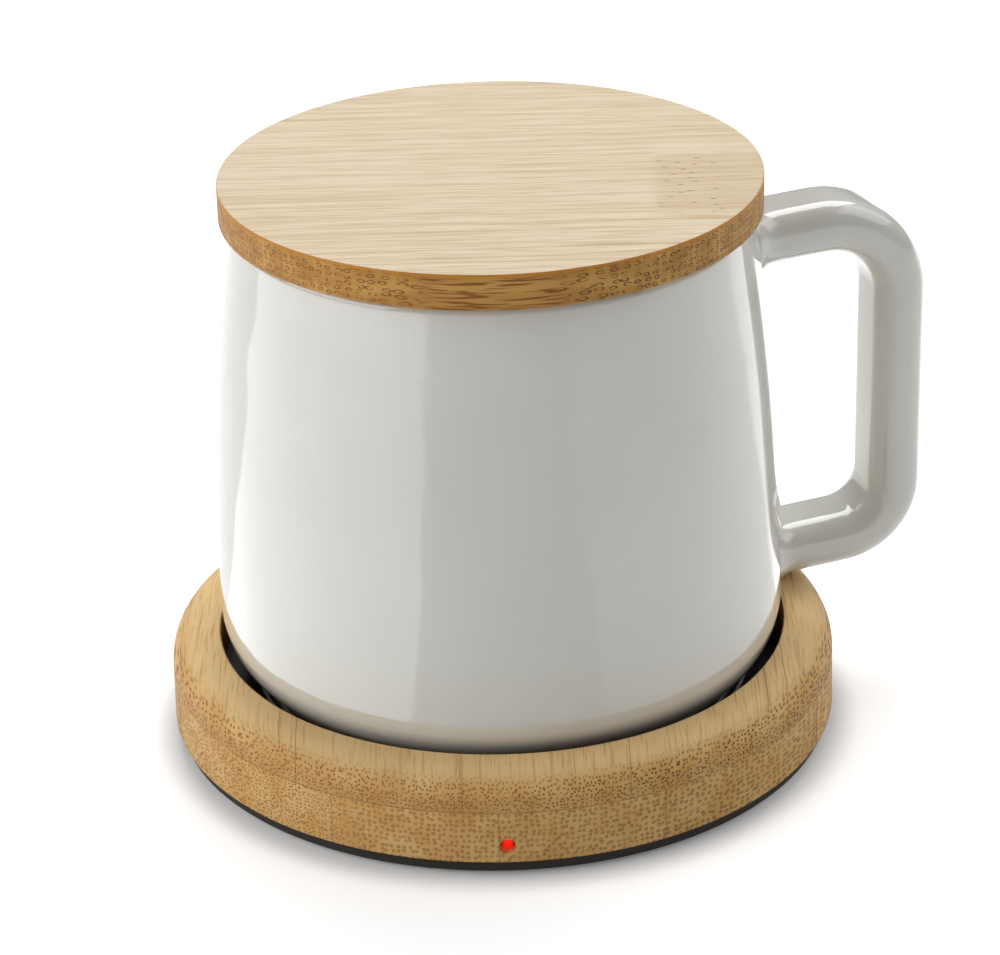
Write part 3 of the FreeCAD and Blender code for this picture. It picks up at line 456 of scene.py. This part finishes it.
def base_fibre_ends(g, section, upper):
    """Cut fibre bundles: small dots in the upper layer and at the left, ringlets in the lower layer."""
    bundle = g.cells(section, BUNDLE_PITCH, randomness=0.55)
    ring = g.fall(g.apart(bundle, 0.22), low=0.03, high=0.15)
    core = g.fall(bundle, low=0.06, high=0.2)
    dot = g.fall(g.cells(section, DOT_PITCH, randomness=0.75), low=0.14, high=0.38)
    upper_ends = g.times(dot, g.step(g.z, DOTS_START, DOTS_FULL, to_low=0.35))
    at_left = g.fall(g.x, LEFT_DOTS_FULL, LEFT_DOTS_END)
    lower_ends = g.blend(at_left, g.times(ring, 0.72), g.times(dot, 0.9))
    ends = g.blend(upper, lower_ends, upper_ends)
    patchy = g.step(g.noise(section, scale=0.35, detail=3.0), 0.25, 0.6, to_low=0.45)
    return g.times(ends, patchy), g.times(g.times(core, g.rest(upper)), 0.3)


def base_fibre_lines(g, across):
    """Fibres seen from the side, as streaks along Y."""
    wide_place = g.vector(across, g.times(g.y, 0.018))
    fine_place = g.vector(across, g.times(g.y, 0.03), 7.0)
    wide = g.step(g.noise(wide_place, scale=1.15, detail=4.0, roughness=0.62), 0.56, 0.72)
    fine = g.step(g.noise(fine_place, scale=3.2, roughness=0.6), 0.52, 0.72)
    return g.larger(g.times(wide, 0.75), g.times(fine, 0.55))


def bamboo_base_material():
    """Laminated bamboo: streaks on top, bundle ends as dots round the side; painted shade darkens the fibre
    marks to the right, a band on the side above the seam, and the recess wall.
    """
    g = Graph("bamboo_base")
    stretched = g.vector(g.x, g.times(g.y, 0.12), g.z)
    across, height = wavy_section(g, g.x, stretched, wander=1.6)
    section = g.vector(across, height)
    upper, tone, glue = base_strips(g)
    ends, core = base_fibre_ends(g, section, upper)
    top = g.step(g.up, 0.55, 0.97)
    marks = g.blend(top, ends, base_fibre_lines(g, across))

    cloud = g.noise(g.vector(across, g.times(g.y, 0.05), g.z), scale=0.22, detail=3.0)
    body = g.blend(g.step(cloud, 0.3, 0.7), BAMBOO_PALE, BAMBOO_WARM)
    dull = g.math("MULTIPLY", g.minus(tone, 0.2), 0.35, clamp=True)
    body = g.blend(dull, body, BAMBOO_DULL)
    # Painted shade: a darker band on the side just above the seam
    shade_band = g.times(upper, g.times(g.step(g.z, SHADE_BAND_START, SHADE_BAND_FULL), 0.32))
    body = g.blend(shade_band, body, BAMBOO_SHADE_BAND)
    body = g.blend(g.times(top, 0.7), body, BAMBOO_TOP)

    # Fibre marks darker towards the right: painted shade
    fibre = g.blend(g.step(g.x, FIBRE_SHADE_START, FIBRE_SHADE_FULL), FIBRE_LEFT, FIBRE_SHADED_RIGHT)
    fibre = g.blend(g.times(top, 0.85), fibre, FIBRE_TOP)
    colour = g.blend(g.times(marks, 0.92), body, fibre)
    colour = g.blend(g.times(core, g.rest(top)), colour, BAMBOO_CORE_AND_SHADE)
    colour = g.blend(glue, colour, GLUE_BROWN)
    # Recess wall darkened towards the core brown: painted shade
    recess_shade = g.math("LESS_THAN", g.radius, RECESS_RADIUS + 0.05)
    colour = g.blend(g.times(recess_shade, 0.7), colour, BAMBOO_CORE_AND_SHADE)
    rough = g.step(marks, 0.0, 1.0, to_low=0.46, to_high=0.6)
    relief = g.rest(g.larger(marks, glue))
    return g.surface(colour, rough, relief, BASE_RELIEF, Specular_IOR_Level=WOOD_SPECULAR)


# Bamboo of the lid, with its fibres along X, in millimetres
LID_BUNDLE_PITCH = 1.0
LID_RELIEF = 0.04 * MM
FLECK_PITCH = 2.3
DASHES_FULL = 8.0
DASHES_END = 14.0
STREAKS_START = 10.0
STREAKS_FULL = -40.0
PATCH_LEFT = 26.0
PATCH_RIGHT = 39.0
PATCH_BACK = 5.0
PATCH_FRONT = -26.0
PATCH_LEFT_BLUR = 4.0
PATCH_FRONT_BLUR = 8.0
# Lid fibre ends darken to the right up to this: painted shade
LID_FIBRE_SHADE_FULL = 30.0
RIM_LINE_START = 0.7
RIM_LINE_END = 0.45
LID_PALE = srgb(232, 216, 188)
LID_STREAK = srgb(186, 150, 100)
LID_PATCH = srgb(196, 168, 124)
LID_FLECK = srgb(140, 104, 62)
LID_HONEY = srgb(204, 156, 82)
LID_BROWN = srgb(180, 128, 60)
LID_FIBRE_LEFT = srgb(136, 78, 22)
LID_FIBRE_SHADED_RIGHT = srgb(78, 52, 28)
LID_RIM_LINE = srgb(206, 138, 44)


def lid_fibre_ends(g, across, height):
    """Broken ringlets round the side, which turn into dashes where the side runs along the fibres."""
    cell = g.cells(g.vector(across, height), LID_BUNDLE_PITCH, randomness=0.42)
    ring = g.fall(g.apart(cell, 0.27), low=0.02, high=0.13)
    broken = g.noise(g.vector(g.times(g.x, 0.16), across, height), scale=1.6)
    ring = g.times(ring, g.step(broken, 0.38, 0.54, to_low=0.15))
    waves = g.noise(g.vector(g.times(g.x, 0.05), 0.0, height), scale=2.6, detail=1.0)
    dashes = g.times(g.step(waves, 0.52, 0.6), 0.9)
    along_fibres = g.fall(g.math("ABSOLUTE", g.x), DASHES_FULL, DASHES_END)
    return g.blend(along_fibres, ring, dashes)


def lid_top_colour(g, streak):
    """Pale streaks, stronger to the front, with a duller patch and a few flecks at the right."""
    front = g.step(g.y, STREAKS_START, STREAKS_FULL)
    strength = g.step(front, 0.0, 1.0, to_low=0.8)
    colour = g.blend(g.times(streak, strength), LID_PALE, LID_STREAK)
    patch = g.step(g.x, PATCH_LEFT, PATCH_LEFT + PATCH_LEFT_BLUR)
    patch = g.times(patch, g.math("LESS_THAN", g.y, PATCH_BACK))
    patch = g.times(patch, g.step(g.y, PATCH_FRONT, PATCH_FRONT + PATCH_FRONT_BLUR))
    colour = g.blend(g.times(patch, 0.3), colour, LID_PATCH)
    fleck = g.cells(g.vector(g.times(g.x, 0.42), g.y), FLECK_PITCH, randomness=1.0)
    flecks = g.times(g.fall(fleck, low=0.07, high=0.13), patch)
    flecks = g.times(flecks, g.math("LESS_THAN", g.x, PATCH_RIGHT))
    return g.blend(g.times(flecks, 0.6), colour, LID_FLECK)


def lid_side_colour(g, section, ends):
    """Honey-coloured side with fibre ends, painted shade that darkens the fibre ends to the right, and a
    brighter line along its top edge.
    """
    cloud = g.step(g.noise(section, scale=0.3, detail=3.0), 0.35, 0.65)
    colour = g.blend(cloud, LID_HONEY, LID_BROWN)
    # Fibre ends darker towards the right: painted shade
    fibre = g.blend(g.step(g.x, 0.0, LID_FIBRE_SHADE_FULL), LID_FIBRE_LEFT, LID_FIBRE_SHADED_RIGHT)
    colour = g.blend(ends, colour, fibre)
    rim = g.step(g.z, LID_TOP - RIM_LINE_START, LID_TOP - RIM_LINE_END)
    return g.blend(g.times(rim, 0.85), colour, LID_RIM_LINE)


def bamboo_lid_material():
    """Bamboo with fine streaks on top, ringlets round the side and dashes at the front."""
    g = Graph("bamboo_lid")
    stretched = g.vector(g.times(g.x, 0.12), g.y, g.z)
    across, height = wavy_section(g, g.y, stretched, wander=1.2)
    ends = lid_fibre_ends(g, across, height)
    wide = g.noise(g.vector(g.times(g.x, 0.012), across), scale=0.55, detail=4.0, roughness=0.6)
    narrow = g.noise(g.vector(g.times(g.x, 0.03), across, 3.0), scale=2.3, detail=3.0, roughness=0.65)
    streak = g.plus(g.times(g.step(narrow, 0.42, 0.72), 0.6), g.times(g.step(wide, 0.4, 0.7), 0.4))
    top = g.step(g.up, 0.6, 0.95)
    side_colour = lid_side_colour(g, g.vector(across, height), ends)
    colour = g.blend(top, side_colour, lid_top_colour(g, streak))
    marks = g.blend(top, ends, g.times(streak, 0.35))
    return g.surface(colour, 0.5, g.rest(marks), LID_RELIEF, Specular_IOR_Level=WOOD_SPECULAR)


# Other materials
GLAZE_WAVE = 0.5 * MM
MOULD_GRAIN = 0.012 * MM
TRACK_PITCH = 3.4
TRACK_DEPTH = 0.01 * MM
PLATED_MARKS = 0.004 * MM
TURNED_MARKS = 0.01 * MM
LENS_RADIUS = 0.96
LENS_BLUR = 0.04
GLAZE_LIGHT = srgb(224, 223, 216)
GLAZE_DARK = srgb(219, 218, 210)
GLAZE_SPECK = srgb(150, 146, 136)
BOARD_GREEN = srgb(18, 78, 40)
BOARD_TRACK = srgb(34, 112, 58)
BOARD_PAD = srgb(190, 188, 176)
LENS_MIDDLE = srgb(250, 34, 16)
LENS_EDGE = srgb(232, 16, 8)
LENS_SURROUND = srgb(52, 30, 18)


def glaze_material():
    """White glaze with a faint waviness that bends its reflections."""
    g = Graph("glaze")
    wave = g.noise(g.vector(g.x, g.y, g.times(g.z, 0.45)), scale=0.05, roughness=0.4)
    slow = g.step(g.noise(g.place, scale=0.03), 0.3, 0.7)
    tint = g.blend(slow, GLAZE_LIGHT, GLAZE_DARK)
    speck = g.step(g.noise(g.place, scale=3.5, detail=1.0), 0.70, 0.76)
    tint = g.blend(g.times(speck, 0.05), tint, GLAZE_SPECK)
    rough = g.step(g.noise(g.place, scale=0.4, detail=3.0), 0.3, 0.7, to_low=0.05, to_high=0.09)
    return g.surface(tint, rough, wave, GLAZE_WAVE, IOR=1.5, Coat_Weight=1.0, Coat_Roughness=0.03)


def moulded_material(name, colour, roughness, gloss=0.0):
    """Moulded plastic or rubber with a fine, even grain."""
    g = Graph(name)
    fine = g.noise(g.place, scale=6.0, roughness=0.6)
    slow = g.noise(g.place, scale=0.12)
    shade = g.blend(g.step(slow, 0.3, 0.7, to_high=0.18), colour, shaded(colour, 1.5))
    rough = g.step(fine, 0.3, 0.7, to_low=roughness - 0.06, to_high=roughness + 0.06)
    return g.surface(shade, rough, fine, MOULD_GRAIN, Coat_Weight=gloss)


def metal_material(name, colour, roughness, ring_depth):
    """Plated or turned metal with fine tool marks."""
    g = Graph(name)
    marks = g.noise(g.vector(g.radius, g.z), scale=4.0, roughness=0.7)
    stain = g.noise(g.place, scale=0.3, detail=3.0)
    shade = g.blend(g.step(stain, 0.3, 0.7, to_high=0.3), colour, shaded(colour, 0.72))
    rough = g.step(marks, 0.3, 0.7, to_low=roughness - 0.08, to_high=roughness + 0.1)
    return g.surface(shade, rough, marks, ring_depth, Metallic=1.0)


def board_material():
    """Green solder mask with faint tracks and pads."""
    g = Graph("board")
    plan = g.vector(g.x, g.y)
    edge = g.cells(plan, TRACK_PITCH, randomness=0.35, feature="DISTANCE_TO_EDGE")
    track = g.fall(edge, low=0.07, high=0.1)
    pad = g.fall(g.cells(plan, TRACK_PITCH, randomness=0.9), low=0.1, high=0.13)
    shade = g.blend(track, BOARD_GREEN, BOARD_TRACK)
    shade = g.blend(pad, shade, BOARD_PAD)
    return g.surface(shade, 0.35, track, TRACK_DEPTH)


def lamp_material():
    """Red lens, lit from within, in a dark surround."""
    g = Graph("led_red")
    drop = g.minus(g.z, LAMP_LEVEL - LENS_DROP)
    away = g.math("SQRT", g.plus(g.times(g.x, g.x), g.times(drop, drop)))
    surround = g.step(away, LENS_RADIUS - LENS_BLUR, LENS_RADIUS + LENS_BLUR)
    glow = g.blend(g.step(away, 0.2, 0.9), LENS_MIDDLE, LENS_EDGE)
    glow = g.blend(surround, glow, LENS_SURROUND)
    strength = g.step(surround, 0.0, 1.0, to_low=0.85, to_high=0.0)
    return g.surface(glow, 0.3, Emission_Color=glow, Emission_Strength=strength)


# Pieces
def stand_for(piece, node, body, material):
    """A finer mesh takes the place of a solid, on the same body."""
    piece.data.materials.clear()
    piece.data.materials.append(material)
    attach(piece, body)
    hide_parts(node)


def lamp_hole_cutter():
    """A cutter along Y for the lamp's hole, flared by a small edge where it meets the wood."""
    mouth = -BASE_RADIUS - BASE_DRAFT
    start = -BASE_RADIUS - CUTTER_PAST
    outline = (
        (LAMP_HOLE + LAMP_HOLE_EDGE + mouth - start, start),
        (LAMP_HOLE, mouth + LAMP_HOLE_EDGE),
        (LAMP_HOLE, LAMP_HOLE_DEPTH - BASE_RADIUS),
    )
    angles = [TURN * index / CUTTER_STEPS for index in range(CUTTER_STEPS)]
    rows = []
    for radius, y in outline:
        rows.append([(radius * math.cos(a), y, LAMP_LEVEL + radius * math.sin(a)) for a in angles])
    return skin("cutter", rows)


def notch_cutter():
    """A round-topped slot through the wall at the back, for the lead entry."""
    foot = BASE_BOTTOM - NOTCH_PAST
    outline = [(-NOTCH_RADIUS, foot), (NOTCH_RADIUS, foot)]
    outline += arc((0, GLAND_LEVEL), NOTCH_RADIUS, 0, 2 * QUARTER, steps=24)
    rows = []
    for y in (RECESS_RADIUS, BASE_RADIUS + CUTTER_PAST):
        rows.append([(x, y, z) for x, z in outline])
    return skin("cutter", rows)


def make_base():
    foot = BASE_RADIUS + BASE_DRAFT
    outline = joined(
        [(CAVITY_RADIUS, BASE_BOTTOM), (foot - BASE_EDGE, BASE_BOTTOM), (foot, BASE_BOTTOM + BASE_EDGE)],
        arc((BASE_RADIUS - BASE_ROUND, BASE_TOP - BASE_ROUND), BASE_ROUND, 0, QUARTER, steps=24),
        arc((RECESS_RADIUS + RECESS_LIP, BASE_TOP - RECESS_LIP), RECESS_LIP, QUARTER, 2 * QUARTER, steps=8),
        [(RECESS_RADIUS, LEDGE), (CAVITY_RADIUS, LEDGE)],
    )
    piece = lathe("bamboo_ring", outline, closed=True)
    for cutter in (lamp_hole_cutter(), notch_cutter()):
        combine(piece, cutter, "DIFFERENCE")
    stand_for(piece, "bamboo_base", "base", bamboo_base_material())


def mug_outline():
    """Outside from under the foot up to the rim, then inside down to the floor."""
    foot = MUG_RADIUS - MUG_CORNER
    under = MUG_BOTTOM + MUG_FOOT_RISE
    shoulder = MUG_RIM - MUG_WALL / 2
    floor = under + MUG_FLOOR
    inner = MUG_RADIUS - MUG_WALL
    foot_inside = foot - MUG_FOOT_WALL
    soft = MUG_FOOT_ROUND / 2
    corner_top = under + MUG_CORNER
    inner_top = floor + MUG_INNER_CORNER
    inside = arc_between(
        (inner, inner_top), (MUG_MOUTH - MUG_WALL, shoulder), MUG_SIDE_ROUND - MUG_WALL, steps=24)
    return joined(
        [(0, under), (foot_inside, under)],
        arc((foot_inside + soft, MUG_BOTTOM + soft), soft, 2 * QUARTER, 3 * QUARTER, steps=5),
        arc((foot - MUG_FOOT_ROUND, MUG_BOTTOM + MUG_FOOT_ROUND), MUG_FOOT_ROUND, -QUARTER, 0, steps=8),
        arc((foot, corner_top), MUG_CORNER, -QUARTER, 0, steps=32),
        arc_between((MUG_RADIUS, corner_top), (MUG_MOUTH, shoulder), MUG_SIDE_ROUND, steps=40),
        arc((MUG_MOUTH - MUG_WALL / 2, shoulder), MUG_WALL / 2, 0, 2 * QUARTER, steps=20),
        reversed(inside),
        arc((inner - MUG_INNER_CORNER, inner_top), MUG_INNER_CORNER, 0, -QUARTER, steps=20),
        [(0, floor)],
    )


def handle_root(wall, level):
    """Where a sloped bar that aims at a level at the handle's reach starts, inside the mug's wall."""
    start = wall - MUG_WALL / 2
    return start, level - HANDLE_SLOPE * (HANDLE_REACH - start)


def handle_path():
    """Centre line in the (radius, height) plane: top bar, upright and lower bar with round corners."""
    lean = math.atan(HANDLE_SLOPE)
    tilt = math.degrees(lean)
    top_run = HANDLE_BEND_TOP * math.tan((math.pi / 2 + lean) / 2)
    low_run = HANDLE_BEND_LOW * math.tan((math.pi / 2 - lean) / 2)
    top_centre = (HANDLE_REACH - HANDLE_BEND_TOP, HANDLE_TOP - top_run)
    low_centre = (HANDLE_REACH - HANDLE_BEND_LOW, HANDLE_LOW + low_run)
    top_bend = arc(top_centre, HANDLE_BEND_TOP, QUARTER + tilt, 0, steps=24)
    low_bend = arc(low_centre, HANDLE_BEND_LOW, 0, tilt - QUARTER, steps=20)
    return joined(
        between(handle_root(MUG_MOUTH, HANDLE_TOP), top_bend[0], BAR_STEPS),
        top_bend,
        between(top_bend[-1], low_bend[0], UPRIGHT_STEPS),
        low_bend,
        between(low_bend[-1], handle_root(MUG_RADIUS, HANDLE_LOW), BAR_STEPS),
    )


def wall_radius(height):
    """Outside radius of the mug's wall at a height."""
    low = MUG_BOTTOM + MUG_FOOT_RISE + MUG_CORNER
    share = max(0.0, (height - low) / (MUG_RIM - low))
    return MUG_RADIUS - (MUG_RADIUS - MUG_MOUTH) * share ** MUG_TAPER_POWER


def flare(radius, height):
    """How much the handle swells near the mug's wall."""
    gap = max(0.0, radius - wall_radius(height) + FLARE_START)
    share = max(0.0, 1 - gap / FLARE_REACH)
    return FLARE_SIZE * share ** FLARE_POWER


def make_mug():
    piece = lathe("mug_body", mug_outline())
    path = handle_path()
    section = rounded_rectangle(HANDLE_WIDTH, HANDLE_THICK, HANDLE_EDGE, steps=10)
    loop = swept("handle", path, section, [flare(*spot) for spot in path])
    loop.data.transform(Matrix.Rotation(HANDLE_TURN, 4, "Z"))
    combine(piece, loop, "UNION")
    piece.name = "glazed_mug"
    stand_for(piece, "mug", "mug", glaze_material())


def make_lid():
    plug_bottom = LID_BOTTOM - PLUG_RISE
    groove_low = LID_BOTTOM - (PLUG_RISE + PLUG_GROOVE_RISE) / 2
    groove_high = groove_low + PLUG_GROOVE_RISE
    groove_radius = PLUG_RADIUS - PLUG_GROOVE
    edge = LID_RADIUS - LID_EDGE
    outline = joined(
        [(0, plug_bottom), (PLUG_RADIUS - LID_EDGE, plug_bottom), (PLUG_RADIUS, plug_bottom + LID_EDGE)],
        [(PLUG_RADIUS, groove_low), (groove_radius, groove_low)],
        [(groove_radius, groove_high), (PLUG_RADIUS, groove_high), (PLUG_RADIUS, LID_BOTTOM)],
        arc((edge, LID_BOTTOM + LID_EDGE), LID_EDGE, -QUARTER, 0, steps=4),
        arc((edge, LID_TOP - LID_EDGE), LID_EDGE, 0, QUARTER, steps=5),
        [(LID_RADIUS * share, LID_TOP) for share in LID_RINGS],
    )
    piece = lathe("bamboo_lid", outline)
    stand_for(piece, "lid", "lid", bamboo_lid_material())


def dress(node, material):
    """Give a solid of the frame its finish."""
    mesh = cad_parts[node].data
    mesh.materials.clear()
    mesh.materials.append(material)
    smooth(mesh, SOLID_SMOOTH_ANGLE)


def dress_frame():
    """Finishes for the solids that keep their own shape."""
    screws = ["cover_screws", "guide_screws", "clamp_screws", "board_screws", "cord_clamp_screws"]
    steel_nodes = screws + ["heater_clamp", "thermostat", "return_springs", "led_leads"]
    dark_nodes = ["micro_switch", "relay", "control_chip"]
    pale_nodes = ["thermal_fuse", "switch_plunger", "resistors"]
    finishes = (
        (moulded_material("black_plastic", srgb(44, 40, 34), 0.65), ["bottom_cover", "cord_clamp"]),
        (moulded_material("frame_plastic", srgb(44, 41, 37), 0.5), ["plate_frame"]),
        (moulded_material("rubber", srgb(34, 34, 34), 0.75), ["rubber_feet", "cord_gland"]),
        (moulded_material("silicone", srgb(226, 226, 220), 0.5, gloss=0.1), ["plate_seal", "lid_seal"]),
        (metal_material("steel", srgb(196, 196, 192), 0.3, PLATED_MARKS), steel_nodes),
        (metal_material("plate_metal", srgb(178, 178, 178), 0.38, TURNED_MARKS), ["heating_plate"]),
        (metal_material("heater", srgb(150, 138, 118), 0.5, TURNED_MARKS), ["heater_element"]),
        (moulded_material("mica", srgb(196, 178, 140), 0.6), ["heater_pad"]),
        (board_material(), ["circuit_board"]),
        (moulded_material("component_dark", srgb(38, 38, 40), 0.45), dark_nodes),
        (moulded_material("component_pale", srgb(204, 180, 146), 0.35, gloss=0.3), pale_nodes),
        (moulded_material("component_blue", srgb(36, 62, 130), 0.3, gloss=0.5), ["capacitor"]),
        (moulded_material("terminal_green", srgb(38, 112, 64), 0.45), ["terminal_block"]),
        (moulded_material("wire_red", srgb(176, 36, 30), 0.4, gloss=0.3), ["supply_wires"]),
        (moulded_material("wire_white", srgb(222, 222, 216), 0.5), ["heater_leads"]),
        (lamp_material(), ["red_led"]),
    )
    for material, nodes in finishes:
        for node in nodes:
            dress(node, material)


# Stage: lamps, with lengths in metres, direction in degrees round from the front and power in watts
LIGHTS = {
    "key_left": dict(direction=-70, height=0.62, distance=1.00, width=1.1, tall=0.9, power=6.5),
    "fill_right": dict(direction=96, height=0.80, distance=0.88, width=1.0, tall=0.8, power=3.2),
    "top_back": dict(direction=172, height=1.10, distance=0.72, width=1.1, tall=0.8, power=10.5),
}
LIGHT_AIM = Vector((0, 0, 0.06))
WORLD_STRENGTH = 0.22
WHITE = (1, 1, 1, 1)

# Floor: its size in metres, and distances from the axis in millimetres for its shadow and its far part
FLOOR_RADIUS = 3.0
FLOOR_SIDES = 96
FLOOR_SHADE = 0.88
FLOOR_LIFT = 0.44
SHADOW_INNER = 59.5
SHADOW_OUTER = 66.5
SHADOW_KEPT = 0.3
FAR_START = 220.0
FAR_END = 700.0

# What glossy surfaces mirror of the floor: each sector's start, in degrees from the front, and its level
MIRRORED_SECTORS = ((-180, 0.2), (-113, 1.0), (-27, 0.02), (31, 0.22), (115, 0.6), (150, 0.25))
SECTOR_SWAY = 10.0
SECTOR_BLUR = 1.2
SECTOR_INNER = 78.0
SECTOR_OUTER = 84.0


def make_camera():
    level = Vector((math.sin(CAMERA_YAW), math.cos(CAMERA_YAW), 0))
    forward = level * math.cos(CAMERA_PITCH) - Vector((0, 0, math.sin(CAMERA_PITCH)))
    right = Vector((level.y, -level.x, 0))
    up = right.cross(forward)
    rolled_right = right * math.cos(CAMERA_ROLL) + up * math.sin(CAMERA_ROLL)
    rolled_up = up * math.cos(CAMERA_ROLL) - right * math.sin(CAMERA_ROLL)
    data = bpy.data.cameras.new("camera")
    data.sensor_fit = "HORIZONTAL"
    data.sensor_width = SENSOR_MM
    data.lens = FOCAL_PX / PICTURE_WIDTH_PX * SENSOR_MM
    data.clip_start = CAMERA_NEAR
    camera = bpy.data.objects.new("camera", data)
    turn = Matrix((rolled_right, rolled_up, -forward)).transposed().to_4x4()
    camera.matrix_world = Matrix.Translation(CAMERA_PLACE) @ turn
    bpy.context.scene.collection.objects.link(camera)
    bpy.context.scene.camera = camera


def make_light(name, direction, height, distance, width, tall, power):
    """A flat lamp that faces the object, unseen by the camera."""
    data = bpy.data.lights.new(name, "AREA")
    data.shape = "RECTANGLE"
    data.size = width
    data.size_y = tall
    data.energy = power
    light = bpy.data.objects.new(name, data)
    angle = math.radians(direction)
    light.location = (distance * math.sin(angle), -distance * math.cos(angle), height)
    light.rotation_euler = (LIGHT_AIM - light.location).to_track_quat("-Z", "Y").to_euler()
    light.visible_camera = False
    bpy.context.scene.collection.objects.link(light)


def mirrored_level(g):
    """Level of the floor by its direction from the object, out of view, as a glossy surface sees it."""
    waver = g.noise(g.vector(g.x, g.y), scale=0.012, detail=1.0)
    angle = g.math("ARCTAN2", g.x, g.times(g.y, -1.0))
    degrees = g.plus(g.times(angle, math.degrees(1)), g.times(g.minus(waver, 0.5), SECTOR_SWAY))
    level = MIRRORED_SECTORS[0][1]
    for start, after in MIRRORED_SECTORS[1:]:
        share = g.step(degrees, start - SECTOR_BLUR, start + SECTOR_BLUR)
        level = g.node("MapRange", Value=share, To_Min=level, To_Max=after).outputs[0]
    return g.times(level, g.step(g.radius, SECTOR_INNER, SECTOR_OUTER))


def floor_material():
    """Pale floor that the camera sees as white, apart from the object's shadow."""
    g = Graph("floor")
    path = g.node("LightPath").outputs
    seen = g.larger(path["Is Camera Ray"], path["Is Transmission Ray"])
    lift = g.step(g.radius, FAR_START, FAR_END, to_low=FLOOR_LIFT)
    lift = g.times(lift, g.step(g.radius, SHADOW_INNER, SHADOW_OUTER, to_low=SHADOW_KEPT))
    strength = g.plus(g.times(seen, lift), g.times(path["Is Glossy Ray"], mirrored_level(g)))
    diffuse = g.node("BsdfDiffuse", Color=(FLOOR_SHADE, FLOOR_SHADE, FLOOR_SHADE, 1))
    glow = g.node("Emission", Strength=strength)
    both = g.node("AddShader")
    g.put(both.inputs[0], diffuse.outputs[0])
    g.put(both.inputs[1], glow.outputs[0])
    g.put(g.output.inputs["Surface"], both.outputs[0])
    return g.material


def make_floor():
    bm = bmesh.new()
    bmesh.ops.create_circle(bm, cap_ends=True, radius=FLOOR_RADIUS, segments=FLOOR_SIDES)
    floor = finish_mesh("floor", bm)
    floor.data.materials.append(floor_material())


def make_world():
    """Even light all round, which the camera sees as white."""
    world = bpy.data.worlds.new("studio")
    world.use_nodes = True
    tree = world.node_tree
    background = tree.nodes["Background"]
    background.inputs["Color"].default_value = WHITE
    path = tree.nodes.new("ShaderNodeLightPath")
    pick = tree.nodes.new("ShaderNodeMapRange")
    pick.inputs["To Min"].default_value = WORLD_STRENGTH
    pick.inputs["To Max"].default_value = 1.0
    tree.links.new(path.outputs["Is Camera Ray"], pick.inputs["Value"])
    tree.links.new(pick.outputs[0], background.inputs["Strength"])
    bpy.context.scene.world = world


def make_stage():
    make_floor()
    for name, values in LIGHTS.items():
        make_light(name, **values)
    make_world()
    bpy.context.scene.view_settings.view_transform = "Standard"


make_camera()
make_base()
make_mug()
make_lid()
dress_frame()
make_stage()
